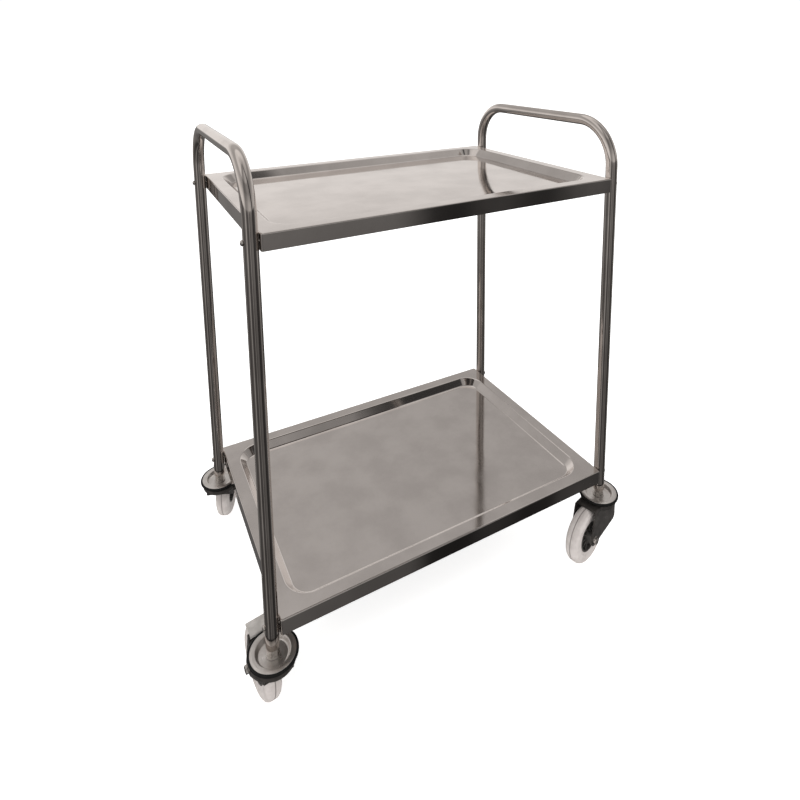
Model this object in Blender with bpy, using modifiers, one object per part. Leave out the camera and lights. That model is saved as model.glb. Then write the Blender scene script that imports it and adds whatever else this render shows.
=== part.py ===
"""Instrument cart: two pressed steel trays bolted between two bent-tube end frames, on four castors.

+X runs along the trays from the left end frame to the right one, +Y from front to back, +Z up.
All lengths are in metres. The cart stands on the plane z = 0 with the centre of its box at the origin.
"""
import math

import bmesh
import bpy
from mathutils import Matrix, Vector

MM = 0.001

# Trays
TRAY_LENGTH = 760.0 * MM
TRAY_DEPTH = 520.0 * MM
TRAY_SHEET = 1.2 * MM
TRAY_FLANGE = 30.0 * MM          # height of the turned-down edge
TRAY_RIM = 28.0 * MM             # flat border round the recess
TRAY_RECESS = 17.0 * MM          # how far the floor lies below the rim
TRAY_SLOPE = 16.0 * MM           # how far the sloping wall runs inward
TRAY_RECESS_CORNER = 48.0 * MM
TRAY_OUTER_CORNER = 4.0 * MM
TRAY_BEND = 2.4 * MM             # rounding of every fold
LEG_STUB = 56.4 * MM            # lower tray's top above the legs' lower ends
TRAY_SPACING = 700.0 * MM

# End frames
TUBE_DIAMETER = 25.0 * MM
TUBE_WALL = 1.2 * MM
TUBE_BEND = 95.0 * MM            # centreline radius at the handle corners
TUBE_SETBACK = 15.0 * MM         # tube centre behind the tray's long edge
HANDLE_RISE = 118.0 * MM         # handle centreline above the upper tray

# Fasteners
TRAY_BOLT_DIAMETER = 6.0 * MM
TRAY_BOLT_HEAD = (10.0 * MM, 4.0 * MM)      # width across, height
TRAY_NUT = (10.0 * MM, 5.0 * MM)            # width across flats, height
AXLE_DIAMETER = 10.0 * MM
AXLE_HEX = (16.0 * MM, 6.4 * MM)            # width across flats, height
THREAD_STICK_OUT = 2.0 * MM

# Castors
WHEEL_DIAMETER = 125.0 * MM
WHEEL_WIDTH = 32.0 * MM
HUB_RADIUS = 34.0 * MM
HUB_BOSS_RADIUS = 11.0 * MM
CASTOR_TRAIL = 59.0 * MM
WHEEL_CLEARANCE = 2.0 * MM                  # tyre to the underside of the fork's crown
FORK_SHEET = 2.5 * MM
FORK_SIDE_GAP = 8.5 * MM                    # tyre to the inside of a fork leg
FORK_APRON = 22.0 * MM                      # height of the fork's closed front
PLAIN_FORK_LEAD = 33.0 * MM                 # fork's front edge ahead of the swivel axis
PLAIN_FORK_DROP = 64.0 * MM                 # how far the legs' front edges come down
BRAKED_FORK_LEAD = 28.0 * MM                # the braked forks have slimmer, slanting legs
BRAKED_FORK_DROP = 24.0 * MM
FORK_CORNER = 12.0 * MM
FORK_SHOULDER = 6.0 * MM
AXLE_END_RADIUS = 14.0 * MM
SWIVEL_HOUSING_RADIUS = 40.0 * MM
SWIVEL_HOUSING_HEIGHT = 10.0 * MM
DISC_RADIUS = 42.0 * MM
DISC_SHEET = 2.0 * MM
DISC_RISE = 8.0 * MM                        # the disc's border stands above its middle
DISC_MIDDLE_RADIUS = 27.0 * MM
DISC_SKIRT = 6.0 * MM
RING_THICKNESS = 3.5 * MM
RING_HEIGHT = 6.0 * MM
STEM_DIAMETER = 12.0 * MM
STEM_HEX = 19.0 * MM
STEM_HEX_HEIGHT = 17.0 * MM
STEM_HEAD = (9.0 * MM, 5.0 * MM)            # radius and height of the riveted end
INSERT_LENGTH = 28.0 * MM

# Brakes
PIN_DIAMETER = 5.0 * MM
PEDAL_BARREL_RADIUS = 4.6 * MM
PEDAL_RING_GAP = 1.6 * MM                   # barrel to the bumper ring
PEDAL_EDGE = 0.4 * MM                       # barrel to the crown's back edge
PEDAL_REACH = 22.0 * MM                     # tip of the plate behind the pin
PEDAL_SHEET = 2.5 * MM
PEDAL_SHOE_WIDTH = 26.0 * MM

# Fits
FIT = 0.3 * MM                              # gap between pieces that touch
RUNNING_FIT = 0.5 * MM                      # gap between pieces that turn

# Steps round a full turn
TUBE_SIDES_SETTING = 6                      # bevel resolution, 16 sides
TUBE_BEND_STEPS = 6
TRAY_CORNER_STEPS = 4
TYRE_STEPS = 28
TURNED_STEPS = 20
HUB_STEPS = 16
INSERT_STEPS = 12
SMALL_STEPS = 10
SHARP_ANGLE = math.radians(35.0)

# Each castor: its corner, the way its wheel trails at rest, and whether it has a brake
CASTORS = (
    ("front_left", -1, -1, math.radians(97.0), True),
    ("front_right", 1, -1, math.radians(195.0), False),
    ("rear_left", -1, 1, math.radians(67.0), True),
    ("rear_right", 1, 1, math.radians(205.0), False),
)

# Heights and places that follow from the sizes above
WHEEL_RADIUS = WHEEL_DIAMETER / 2
CROWN_UNDERSIDE = WHEEL_DIAMETER + WHEEL_CLEARANCE
CROWN_TOP = CROWN_UNDERSIDE + FORK_SHEET
DISC_BASE = CROWN_TOP + RUNNING_FIT
DISC_MIDDLE_TOP = DISC_BASE + DISC_SHEET
DISC_TOP = DISC_MIDDLE_TOP + DISC_RISE
HEX_BASE = DISC_MIDDLE_TOP + FIT
HEX_TOP = HEX_BASE + STEM_HEX_HEIGHT
TUBE_END = HEX_TOP + FIT
LOWER_TRAY_TOP = TUBE_END + LEG_STUB
UPPER_TRAY_TOP = LOWER_TRAY_TOP + TRAY_SPACING
HANDLE_HEIGHT = UPPER_TRAY_TOP + HANDLE_RISE
TUBE_RADIUS = TUBE_DIAMETER / 2
TUBE_BORE_RADIUS = TUBE_RADIUS - TUBE_WALL
LEG_X = TRAY_LENGTH / 2 + FIT + TUBE_RADIUS
LEG_Y = TRAY_DEPTH / 2 - TUBE_SETBACK
BOLT_DROP = TRAY_FLANGE / 2
FORK_WIDTH = WHEEL_WIDTH + 2 * (FORK_SIDE_GAP + FORK_SHEET)
FORK_HALF = FORK_WIDTH / 2
FORK_INNER_HALF = FORK_HALF - FORK_SHEET
AXLE_RADIUS = AXLE_DIAMETER / 2
RING_INNER_RADIUS = DISC_RADIUS + FIT
PEDAL_PIN_OFFSET = RING_INNER_RADIUS + RING_THICKNESS + PEDAL_RING_GAP + PEDAL_BARREL_RADIUS
FORK_TAIL = PEDAL_PIN_OFFSET + PEDAL_BARREL_RADIUS + PEDAL_EDGE   # crown's back edge
PIN_HEIGHT = CROWN_TOP + PEDAL_BARREL_RADIUS + RUNNING_FIT

PARTS = "instrument_cart"
CUTTERS = "cutters"


def clear_scene():
    """Remove every object and leave two empty collections."""
    for obj in list(bpy.data.objects):
        bpy.data.objects.remove(obj)
    for name in (PARTS, CUTTERS):
        collection = bpy.data.collections.new(name)
        bpy.context.scene.collection.children.link(collection)


def make_material(name, colour, roughness, metallic):
    """Return a Principled material."""
    material = bpy.data.materials.new(name)
    material.use_nodes = True
    shader = material.node_tree.nodes["Principled BSDF"]
    shader.inputs["Base Color"].default_value = (*colour, 1.0)
    shader.inputs["Roughness"].default_value = roughness
    shader.inputs["Metallic"].default_value = metallic
    return material


def make_empty(name, parent=None, location=(0.0, 0.0, 0.0), turn=0.0):
    """Return an empty that carries the pieces of one assembly."""
    empty = bpy.data.objects.new(name, None)
    bpy.data.collections[PARTS].objects.link(empty)
    empty.parent = parent
    empty.location = location
    empty.rotation_euler = (0.0, 0.0, turn)
    return empty


def add_piece(name, mesh, material, parent, location=(0.0, 0.0, 0.0), rotation=(0.0, 0.0, 0.0)):
    """Add one sub-part to the model."""
    piece = bpy.data.objects.new(name, mesh)
    if not mesh.materials:
        mesh.materials.append(material)
    bpy.data.collections[PARTS].objects.link(piece)
    piece.parent = parent
    piece.location = location
    piece.rotation_euler = rotation
    return piece


def work_object(name, data):
    """Link data to the scene for a moment, so that its modifiers can be evaluated."""
    obj = bpy.data.objects.new(name, data)
    bpy.data.collections[CUTTERS].objects.link(obj)
    return obj


def baked_mesh(obj):
    """Return the evaluated mesh of an object that stands at the origin, and remove the object."""
    bpy.context.view_layer.update()
    depsgraph = bpy.context.evaluated_depsgraph_get()
    mesh = bpy.data.meshes.new_from_object(obj.evaluated_get(depsgraph))
    bpy.data.objects.remove(obj)
    mesh.shade_smooth()
    mesh.set_sharp_from_angle(angle=SHARP_ANGLE)
    return mesh


def add_boolean(obj, other, operation):
    """Add an exact Boolean modifier."""
    modifier = obj.modifiers.new(operation.lower(), "BOOLEAN")
    modifier.operation = operation
    modifier.solver = "EXACT"
    modifier.object = other


def combined_mesh(name, mesh, tools):
    """Return mesh after each (operation, tool mesh) in turn."""
    obj = work_object(name, mesh)
    helpers = []
    for operation, tool in tools:
        helper = work_object(name + "_tool", tool)
        add_boolean(obj, helper, operation)
        helpers.append(helper)
    result = baked_mesh(obj)
    for helper in helpers:
        bpy.data.objects.remove(helper)
    return result


def turned_mesh(name, profile, steps):
    """Turn a profile of (radius, height) points, which runs down its outer side, about Z."""
    mesh = bpy.data.meshes.new(name)
    count = len(profile)
    edges = [(i, i + 1) for i in range(count - 1)]
    if profile[0][0] > 0.0:
        edges.append((count - 1, 0))
    mesh.from_pydata([(radius, 0.0, height) for radius, height in profile], edges, [])
    obj = work_object(name, mesh)
    screw = obj.modifiers.new("turn", "SCREW")
    screw.axis = "Z"
    screw.steps = steps
    screw.render_steps = steps
    screw.use_merge_vertices = True
    screw.merge_threshold = 0.00001
    return baked_mesh(obj)


def cylinder_mesh(name, radius, low, high, steps, axis="Z"):
    """Return a closed cylinder, or a prism with few steps, between two places on an axis."""
    mesh = bpy.data.meshes.new(name)
    bm = bmesh.new()
    bmesh.ops.create_cone(bm, cap_ends=True, segments=steps, radius1=radius, radius2=radius,
                          depth=high - low)
    bmesh.ops.translate(bm, verts=bm.verts, vec=(0.0, 0.0, (low + high) / 2))
    if axis == "X":
        bmesh.ops.rotate(bm, verts=bm.verts, matrix=Matrix.Rotation(math.pi / 2, 3, "Y"))
    if axis == "Y":
        bmesh.ops.rotate(bm, verts=bm.verts, matrix=Matrix.Rotation(-math.pi / 2, 3, "X"))
    bm.to_mesh(mesh)
    bm.free()
    mesh.shade_smooth()
    mesh.set_sharp_from_angle(angle=SHARP_ANGLE)
    return mesh


def hexagon_mesh(name, across_flats, low, high, axis="Z"):
    """Return a hexagonal prism."""
    return cylinder_mesh(name, across_flats / math.sqrt(3.0), low, high, 6, axis)


def box_mesh(name, low, high):
    """Return a box between two corners."""
    mesh = bpy.data.meshes.new(name)
    bm = bmesh.new()
    bmesh.ops.create_cube(bm, size=1.0)
    size = Vector(high) - Vector(low)
    bmesh.ops.scale(bm, verts=bm.verts, vec=size)
    bmesh.ops.translate(bm, verts=bm.verts, vec=Vector(low) + size / 2)
    bm.to_mesh(mesh)
    bm.free()
    return mesh


def arc_points(centre, radius, start, end, steps):
    """Return points on an arc, both ends included, angles in radians."""
    angles = [start + (end - start) * i / steps for i in range(steps + 1)]
    return [(centre[0] + radius * math.cos(a), centre[1] + radius * math.sin(a)) for a in angles]


def plate_mesh(name, outline, thickness):
    """Return a flat plate with its outline in X and Z, centred on y = 0, made from a filled curve."""
    curve = bpy.data.curves.new(name, "CURVE")
    curve.dimensions = "2D"
    curve.fill_mode = "BOTH"
    curve.extrude = thickness / 2
    spline = curve.splines.new("POLY")
    spline.points.add(len(outline) - 1)
    for point, (x, z) in zip(spline.points, outline):
        point.co = (x, z, 0.0, 1.0)
    spline.use_cyclic_u = True
    mesh = baked_mesh(work_object(name, curve))
    bm = bmesh.new()
    bm.from_mesh(mesh)
    bmesh.ops.remove_doubles(bm, verts=bm.verts, dist=0.000001)
    bmesh.ops.rotate(bm, verts=bm.verts, matrix=Matrix.Rotation(math.pi / 2, 3, "X"))
    bmesh.ops.recalc_face_normals(bm, faces=bm.faces)
    bm.to_mesh(mesh)
    bm.free()
    return mesh


def tray_mesh():
    """Return the tray as one open sheet, its rim at z = 0: rim, sloping recess and flange."""
    mesh = bpy.data.meshes.new("tray")
    bm = bmesh.new()
    for inset, radius in ((0.0, TRAY_OUTER_CORNER), (TRAY_RIM, TRAY_RECESS_CORNER)):
        grid = bmesh.ops.create_grid(bm, x_segments=1, y_segments=1, size=0.5)
        size = (TRAY_LENGTH - 2 * inset, TRAY_DEPTH - 2 * inset, 1.0)
        bmesh.ops.scale(bm, verts=grid["verts"], vec=size)
        bmesh.ops.bevel(bm, geom=grid["verts"], affect="VERTICES", offset=radius,
                        segments=TRAY_CORNER_STEPS, profile=0.5)
    inner, outer = sorted(bm.faces, key=lambda face: face.calc_area())
    edges = list(outer.edges) + list(inner.edges)
    bmesh.ops.delete(bm, geom=[outer], context="FACES_ONLY")
    bmesh.ops.bridge_loops(bm, edges=edges)
    bmesh.ops.inset_individual(bm, faces=[inner], thickness=TRAY_SLOPE, depth=-TRAY_RECESS,
                               use_even_offset=True)
    border = [edge for edge in bm.edges if edge.is_boundary]
    skirt = bmesh.ops.extrude_edge_only(bm, edges=border)
    lower = [item for item in skirt["geom"] if isinstance(item, bmesh.types.BMVert)]
    bmesh.ops.translate(bm, verts=lower, vec=(0.0, 0.0, -TRAY_FLANGE))
    bmesh.ops.recalc_face_normals(bm, faces=bm.faces)
    if inner.normal.z < 0.0:
        bmesh.ops.reverse_faces(bm, faces=bm.faces)
    bm.to_mesh(mesh)
    bm.free()
    return mesh


def build_trays(parent, steel):
    """Add the two trays, the same pressing at two heights."""
    mesh = tray_mesh()
    trays = []
    for name, height in (("tray_lower", LOWER_TRAY_TOP), ("tray_upper", UPPER_TRAY_TOP)):
        tray = add_piece(name, mesh, steel, parent, (0.0, 0.0, height))
        bend = tray.modifiers.new("folds", "BEVEL")
        bend.width = TRAY_BEND
        bend.segments = 2
        bend.limit_method = "ANGLE"
        bend.angle_limit = math.radians(30.0)
        sheet = tray.modifiers.new("sheet", "SOLIDIFY")
        sheet.thickness = TRAY_SHEET
        sheet.offset = -1.0
        sheet.use_even_offset = True
        trays.append((tray, height))
    return trays


def frame_mesh():
    """Return the open surface of one bent tube: leg, bend, handle, bend, leg, in the plane x = 0."""
    corner_y = LEG_Y - TUBE_BEND
    corner_z = HANDLE_HEIGHT - TUBE_BEND
    path = [(-LEG_Y, TUBE_END)]
    path += arc_points((-corner_y, corner_z), TUBE_BEND, math.pi, math.pi / 2, TUBE_BEND_STEPS)
    path += arc_points((corner_y, corner_z), TUBE_BEND, math.pi / 2, 0.0, TUBE_BEND_STEPS)
    path += [(LEG_Y, TUBE_END)]
    curve = bpy.data.curves.new("end_frame", "CURVE")
    curve.dimensions = "3D"
    curve.bevel_depth = TUBE_RADIUS
    curve.bevel_resolution = TUBE_SIDES_SETTING
    spline = curve.splines.new("POLY")
    spline.points.add(len(path) - 1)
    for point, (y, z) in zip(spline.points, path):
        point.co = (0.0, y, z, 1.0)
    mesh = baked_mesh(work_object("end_frame", curve))
    bm = bmesh.new()
    bm.from_mesh(mesh)
    bmesh.ops.remove_doubles(bm, verts=bm.verts, dist=0.000001)
    bmesh.ops.recalc_face_normals(bm, faces=bm.faces)
    outermost = max(bm.faces, key=lambda face: face.calc_center_median().x)
    if outermost.normal.x < 0.0:
        bmesh.ops.reverse_faces(bm, faces=bm.faces)
    bm.to_mesh(mesh)
    bm.free()
    mesh.shade_smooth()
    return mesh


def build_frames(parent, steel):
    """Add the two end frames, the same bent tube at each end."""
    mesh = frame_mesh()
    frames = {}
    for name, side in (("end_frame_left", -1), ("end_frame_right", 1)):
        frame = add_piece(name, mesh, steel, parent, (side * LEG_X, 0.0, 0.0))
        wall = frame.modifiers.new("wall", "SOLIDIFY")
        wall.thickness = TUBE_WALL
        wall.offset = -1.0
        frames[side] = frame
    return frames


def tray_bolt_mesh():
    """Return a domed bolt along +X: its head's seat is at x = 0 and its head points to -X."""
    radius = TRAY_BOLT_DIAMETER / 2
    head_radius, head_height = TRAY_BOLT_HEAD[0] / 2, TRAY_BOLT_HEAD[1]
    grip = TUBE_DIAMETER + 2 * FIT + TRAY_SHEET
    length = grip + FIT + TRAY_NUT[1] + THREAD_STICK_OUT
    dome = [(head_radius * math.sin(a), head_height * (0.25 + 0.75 * math.cos(a)))
            for a in (math.pi / 2 * i / 3 for i in range(4))]
    profile = dome + [(head_radius, 0.0), (radius, 0.0), (radius, -length), (0.0, -length)]
    mesh = turned_mesh("tray_bolt", profile, SMALL_STEPS)
    mesh.transform(Matrix.Rotation(-math.pi / 2, 4, "Y"))
    return mesh


def nut_mesh(name, size, bolt_diameter):
    """Return a hexagonal nut along +X from x = 0."""
    bore = cylinder_mesh(name + "_bore", bolt_diameter / 2 + FIT, -size[1], 2 * size[1], SMALL_STEPS, "X")
    return combined_mesh(name, hexagon_mesh(name, size[0], 0.0, size[1], "X"), [("DIFFERENCE", bore)])


def build_tray_fasteners(parent, trays, frames, plated):
    """Bolt each leg to each tray, and drill the tube and the flange for the bolt."""
    bolt = tray_bolt_mesh()
    nut = nut_mesh("tray_nut", TRAY_NUT, TRAY_BOLT_DIAMETER)
    drill = cylinder_mesh("drill", TRAY_BOLT_DIAMETER / 2 + FIT, -TUBE_DIAMETER, TUBE_DIAMETER,
                          SMALL_STEPS, "X")
    for tray, height in trays:
        level = tray.name.split("_")[1]
        for corner, side, depth, _, _ in CASTORS:
            place = f"{level}_{corner}"
            centre = Vector((side * LEG_X, depth * LEG_Y, height - BOLT_DROP))
            turn = (0.0, 0.0, 0.0) if side < 0 else (0.0, 0.0, math.pi)
            seat = centre + Vector((side * (TUBE_RADIUS + FIT), 0.0, 0.0))
            back = Vector((side * (TRAY_LENGTH / 2 - TRAY_SHEET - FIT), centre.y, centre.z))
            add_piece("tray_bolt_" + place, bolt, plated, parent, seat, turn)
            add_piece("tray_nut_" + place, nut, plated, parent, back, turn)
            cutter = bpy.data.objects.new("drill_" + place, drill)
            bpy.data.collections[CUTTERS].objects.link(cutter)
            cutter.parent = parent
            cutter.location = centre
            cutter.hide_render = True
            cutter.display_type = "WIRE"
            add_boolean(tray, cutter, "DIFFERENCE")
            add_boolean(frames[side], cutter, "DIFFERENCE")


def insert_mesh():
    """Return the threaded plug in a leg's lower end, from z = 0 up."""
    radius = TUBE_BORE_RADIUS - FIT
    bore = STEM_DIAMETER / 2 + FIT
    chamfer = 1.0 * MM
    profile = [(bore, INSERT_LENGTH), (radius - chamfer, INSERT_LENGTH), (radius, INSERT_LENGTH - chamfer),
               (radius, 0.0), (bore, 0.0)]
    return turned_mesh("tube_insert", profile, INSERT_STEPS)


def stem_mesh():
    """Return the castor's stem: threaded top, hexagonal collar, and the pin that the fork turns on."""
    radius = STEM_DIAMETER / 2
    head_radius, head_height = STEM_HEAD
    top = TUBE_END + INSERT_LENGTH
    head_top = CROWN_UNDERSIDE - RUNNING_FIT
    chamfer = 1.0 * MM
    profile = [(0.0, top), (radius - chamfer, top), (radius, top - chamfer), (radius, head_top),
               (head_radius, head_top), (head_radius, head_top - head_height + chamfer),
               (head_radius - chamfer, head_top - head_height), (0.0, head_top - head_height)]
    collar = hexagon_mesh("stem_collar", STEM_HEX, HEX_BASE, HEX_TOP)
    return combined_mesh("stem", turned_mesh("stem", profile, SMALL_STEPS), [("UNION", collar)])


def disc_mesh():
    """Return the pressed disc over the fork: a sunk middle, a raised border and a turned-down skirt."""
    hole = STEM_DIAMETER / 2 + FIT
    edge = 1.6 * MM
    step = 3.5 * MM
    border = DISC_MIDDLE_RADIUS + step
    inner = DISC_RADIUS - DISC_SHEET
    under = DISC_TOP - DISC_SHEET
    profile = [
        (hole, DISC_MIDDLE_TOP), (DISC_MIDDLE_RADIUS, DISC_MIDDLE_TOP), (border, DISC_TOP - edge),
        (border + edge, DISC_TOP), (DISC_RADIUS - edge, DISC_TOP), (DISC_RADIUS, DISC_TOP - edge),
        (DISC_RADIUS, DISC_TOP - DISC_SKIRT), (inner, DISC_TOP - DISC_SKIRT), (inner, under),
        (border + DISC_SHEET, under), (DISC_MIDDLE_RADIUS + DISC_SHEET, DISC_BASE), (hole, DISC_BASE),
    ]
    return turned_mesh("bumper_disc", profile, TURNED_STEPS)


def ring_mesh():
    """Return the rubber ring round the disc, with a rounded outside."""
    inner = RING_INNER_RADIUS
    half = RING_HEIGHT / 2
    centre = (inner + RING_THICKNESS - half, DISC_TOP - half)
    outside = arc_points(centre, half, math.pi / 2, -math.pi / 2, 3)
    profile = [(inner, DISC_TOP)] + outside + [(inner, DISC_TOP - RING_HEIGHT)]
    return turned_mesh("bumper_ring", profile, TURNED_STEPS)


def leg_outline(lead, drop):
    """Return the fork's side outline in X and Z, from its crown down round the axle's end."""
    front, back = -lead, FORK_TAIL
    low = CROWN_TOP - drop
    axle = Vector((CASTOR_TRAIL, WHEEL_RADIUS))
    steps = 4
    lower_start = Vector((front + FORK_CORNER, low))
    slant = axle - lower_start
    tangent = math.atan2(slant.y, slant.x) - math.asin(AXLE_END_RADIUS / slant.length)
    tail = axle - Vector((back, CROWN_TOP))
    tail_angle = math.atan2(tail.y, tail.x) + math.asin(AXLE_END_RADIUS / tail.length)
    corner = arc_points((front + FORK_CORNER, low + FORK_CORNER), FORK_CORNER, math.pi,
                        math.pi * 1.5 + tangent, steps)
    end = arc_points(axle, AXLE_END_RADIUS, tangent - math.pi / 2, tail_angle + math.pi / 2, steps)
    return [(front, CROWN_TOP)] + corner + end + [(back, CROWN_TOP)]


def ear_outline():
    """Return the outline of the lug that holds one end of the brake's pin."""
    foot = FORK_SHEET * 2
    top = arc_points((PEDAL_PIN_OFFSET, PIN_HEIGHT), PEDAL_BARREL_RADIUS, 0.0, math.pi, 5)
    return [(PEDAL_PIN_OFFSET + PEDAL_BARREL_RADIUS, CROWN_TOP - foot)] + top + [
        (PEDAL_PIN_OFFSET - PEDAL_BARREL_RADIUS, CROWN_TOP - foot)]


def fork_mesh(braked):
    """Return the fork: a channel over the wheel under a round swivel housing."""
    lead = BRAKED_FORK_LEAD if braked else PLAIN_FORK_LEAD
    drop = BRAKED_FORK_DROP if braked else PLAIN_FORK_DROP
    channel = plate_mesh("fork", leg_outline(lead, drop), FORK_WIDTH)
    bm = bmesh.new()
    bm.from_mesh(channel)
    shoulders = [edge for edge in bm.edges
                 if all(vert.co.z > CROWN_TOP - FIT and abs(vert.co.y) > FORK_HALF - FIT
                        for vert in edge.verts)]
    bmesh.ops.bevel(bm, geom=shoulders, affect="EDGES", offset=FORK_SHOULDER, segments=2, profile=0.5)
    bm.to_mesh(channel)
    bm.free()
    reach = WHEEL_DIAMETER
    apron_low = CROWN_TOP - FORK_APRON
    housing = cylinder_mesh("housing", SWIVEL_HOUSING_RADIUS, CROWN_TOP - SWIVEL_HOUSING_HEIGHT,
                            CROWN_TOP, TURNED_STEPS)
    tools = [("UNION", housing)]
    if braked:
        ears = plate_mesh("ears", ear_outline(), FORK_WIDTH)
        gap = box_mesh("ear_gap", (0.0, -FORK_INNER_HALF, CROWN_TOP), (reach, FORK_INNER_HALF, 2 * reach))
        hole = cylinder_mesh("ear_hole", PIN_DIAMETER / 2 + FIT, -FORK_WIDTH, FORK_WIDTH, SMALL_STEPS, "Y")
        hole.transform(Matrix.Translation((PEDAL_PIN_OFFSET, 0.0, PIN_HEIGHT)))
        tools += [("UNION", ears), ("DIFFERENCE", gap), ("DIFFERENCE", hole)]
    wheel_space = box_mesh("wheel_space", (FORK_SHEET - lead, -FORK_INNER_HALF, 0.0),
                           (reach, FORK_INNER_HALF, CROWN_UNDERSIDE))
    under_apron = box_mesh("under_apron", (-reach, -FORK_INNER_HALF, 0.0), (0.0, FORK_INNER_HALF, apron_low))
    pivot = cylinder_mesh("pivot", STEM_DIAMETER / 2 + RUNNING_FIT, 0.0, 2 * reach, SMALL_STEPS)
    axle = cylinder_mesh("axle", AXLE_RADIUS + FIT, -FORK_WIDTH, FORK_WIDTH, SMALL_STEPS, "Y")
    axle.transform(Matrix.Translation((CASTOR_TRAIL, 0.0, WHEEL_RADIUS)))
    tools += [("DIFFERENCE", tool) for tool in (wheel_space, under_apron, pivot, axle)]
    return combined_mesh("castor_fork", channel, tools)


def hub_mesh():
    """Return the wheel's hub about Z: a boss that reaches the fork's legs, a web and a rim."""
    bore = AXLE_RADIUS + FIT
    boss_half = FORK_INNER_HALF - RUNNING_FIT
    rim_half = WHEEL_WIDTH / 2 - 2.0 * MM
    web_half = 4.0 * MM
    rim_inner = HUB_RADIUS - 4.0 * MM
    upper = [(bore, boss_half), (HUB_BOSS_RADIUS, boss_half), (HUB_BOSS_RADIUS + 2.0 * MM, web_half),
             (rim_inner, web_half), (rim_inner, rim_half), (HUB_RADIUS, rim_half)]
    lower = [(radius, -height) for radius, height in reversed(upper)]
    return turned_mesh("wheel_hub", upper + lower, HUB_STEPS)


def tyre_mesh():
    """Return the tyre about Z: flat sides, rounded shoulders and a slightly crowned tread."""
    half = WHEEL_WIDTH / 2
    inner = HUB_RADIUS + FIT
    shoulder = 7.0 * MM
    crown = 0.5 * MM
    shoulder_points = arc_points((WHEEL_RADIUS - crown - shoulder, half - shoulder), shoulder,
                                 math.pi / 2, 0.0, 2)
    upper = [(inner, half - 2.5 * MM)] + shoulder_points + [(WHEEL_RADIUS, 0.0)]
    lower = [(radius, -height) for radius, height in reversed(upper[:-1])]
    return turned_mesh("tyre", upper + lower, TYRE_STEPS)


def axle_bolt_mesh():
    """Return the axle bolt along +X, its head's seat at x = 0 and its head on the -X side."""
    head_width, head_height = AXLE_HEX
    length = FORK_WIDTH + 3 * FIT + head_height + THREAD_STICK_OUT
    shank = cylinder_mesh("axle_shank", AXLE_RADIUS, -head_height / 2, length, SMALL_STEPS, "X")
    head = hexagon_mesh("axle_head", head_width, -head_height, 0.0, "X")
    return combined_mesh("axle_bolt", head, [("UNION", shank)])


def pedal_mesh():
    """Return the brake pedal about its pin on Y: a barrel, a tread plate and a shoe above the tyre."""
    barrel = PEDAL_BARREL_RADIUS
    half = FORK_INNER_HALF - FIT
    rise = 3.0 * MM
    plate = [(0.0, barrel), (0.0, barrel - PEDAL_SHEET), (PEDAL_REACH, barrel - PEDAL_SHEET + rise),
             (PEDAL_REACH, barrel + rise)]
    shoe_low = -1.5 * barrel
    shoe = box_mesh("pedal_shoe", (0.45 * PEDAL_REACH, -PEDAL_SHOE_WIDTH / 2, shoe_low),
                    (0.8 * PEDAL_REACH, PEDAL_SHOE_WIDTH / 2, barrel))
    round_part = cylinder_mesh("pedal_barrel", barrel, -half, half, SMALL_STEPS, "Y")
    bore = cylinder_mesh("pedal_bore", PIN_DIAMETER / 2 + FIT, -FORK_WIDTH, FORK_WIDTH, SMALL_STEPS, "Y")
    tools = [("UNION", plate_mesh("pedal_plate", plate, 2 * half)), ("UNION", shoe), ("DIFFERENCE", bore)]
    return combined_mesh("brake_pedal", round_part, tools)


def build_castors(parent, finishes):
    """Add the four castors, each on an empty that stands on its swivel axis and turns the fork."""
    steel, plated, dark, rubber, tyre_rubber, nylon = finishes
    insert, stem, disc, ring = insert_mesh(), stem_mesh(), disc_mesh(), ring_mesh()
    forks = {braked: fork_mesh(braked) for braked in (False, True)}
    hub, tyre, bolt = hub_mesh(), tyre_mesh(), axle_bolt_mesh()
    nut = nut_mesh("axle_nut", AXLE_HEX, AXLE_DIAMETER)
    pin = cylinder_mesh("brake_pin", PIN_DIAMETER / 2, -FORK_HALF - FIT, FORK_HALF + FIT, SMALL_STEPS, "Y")
    pedal = pedal_mesh()
    lie_across = (math.pi / 2, 0.0, 0.0)
    for corner, side, depth, trail, braked in CASTORS:
        post = make_empty("castor_" + corner, parent, (side * LEG_X, depth * LEG_Y, 0.0))
        swivel = make_empty("swivel_" + corner, post, turn=trail)
        add_piece("tube_insert_" + corner, insert, plated, post, (0.0, 0.0, TUBE_END))
        add_piece("castor_stem_" + corner, stem, plated, post)
        add_piece("bumper_disc_" + corner, disc, steel, post)
        add_piece("bumper_ring_" + corner, ring, rubber, post)
        add_piece("castor_fork_" + corner, forks[braked], dark, swivel)
        axle = (CASTOR_TRAIL, 0.0, WHEEL_RADIUS)
        add_piece("wheel_hub_" + corner, hub, nylon, swivel, axle, lie_across)
        add_piece("tyre_" + corner, tyre, tyre_rubber, swivel, axle, lie_across)
        seat = FORK_HALF + FIT
        add_piece("axle_bolt_" + corner, bolt, plated, swivel, (CASTOR_TRAIL, seat, WHEEL_RADIUS),
                  (0.0, 0.0, -math.pi / 2))
        add_piece("axle_nut_" + corner, nut, plated, swivel, (CASTOR_TRAIL, -seat, WHEEL_RADIUS),
                  (0.0, 0.0, -math.pi / 2))
        if braked:
            hinge = (PEDAL_PIN_OFFSET, 0.0, PIN_HEIGHT)
            add_piece("brake_pin_" + corner, pin, plated, swivel, hinge)
            add_piece("brake_pedal_" + corner, pedal, steel, swivel, hinge)


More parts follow.
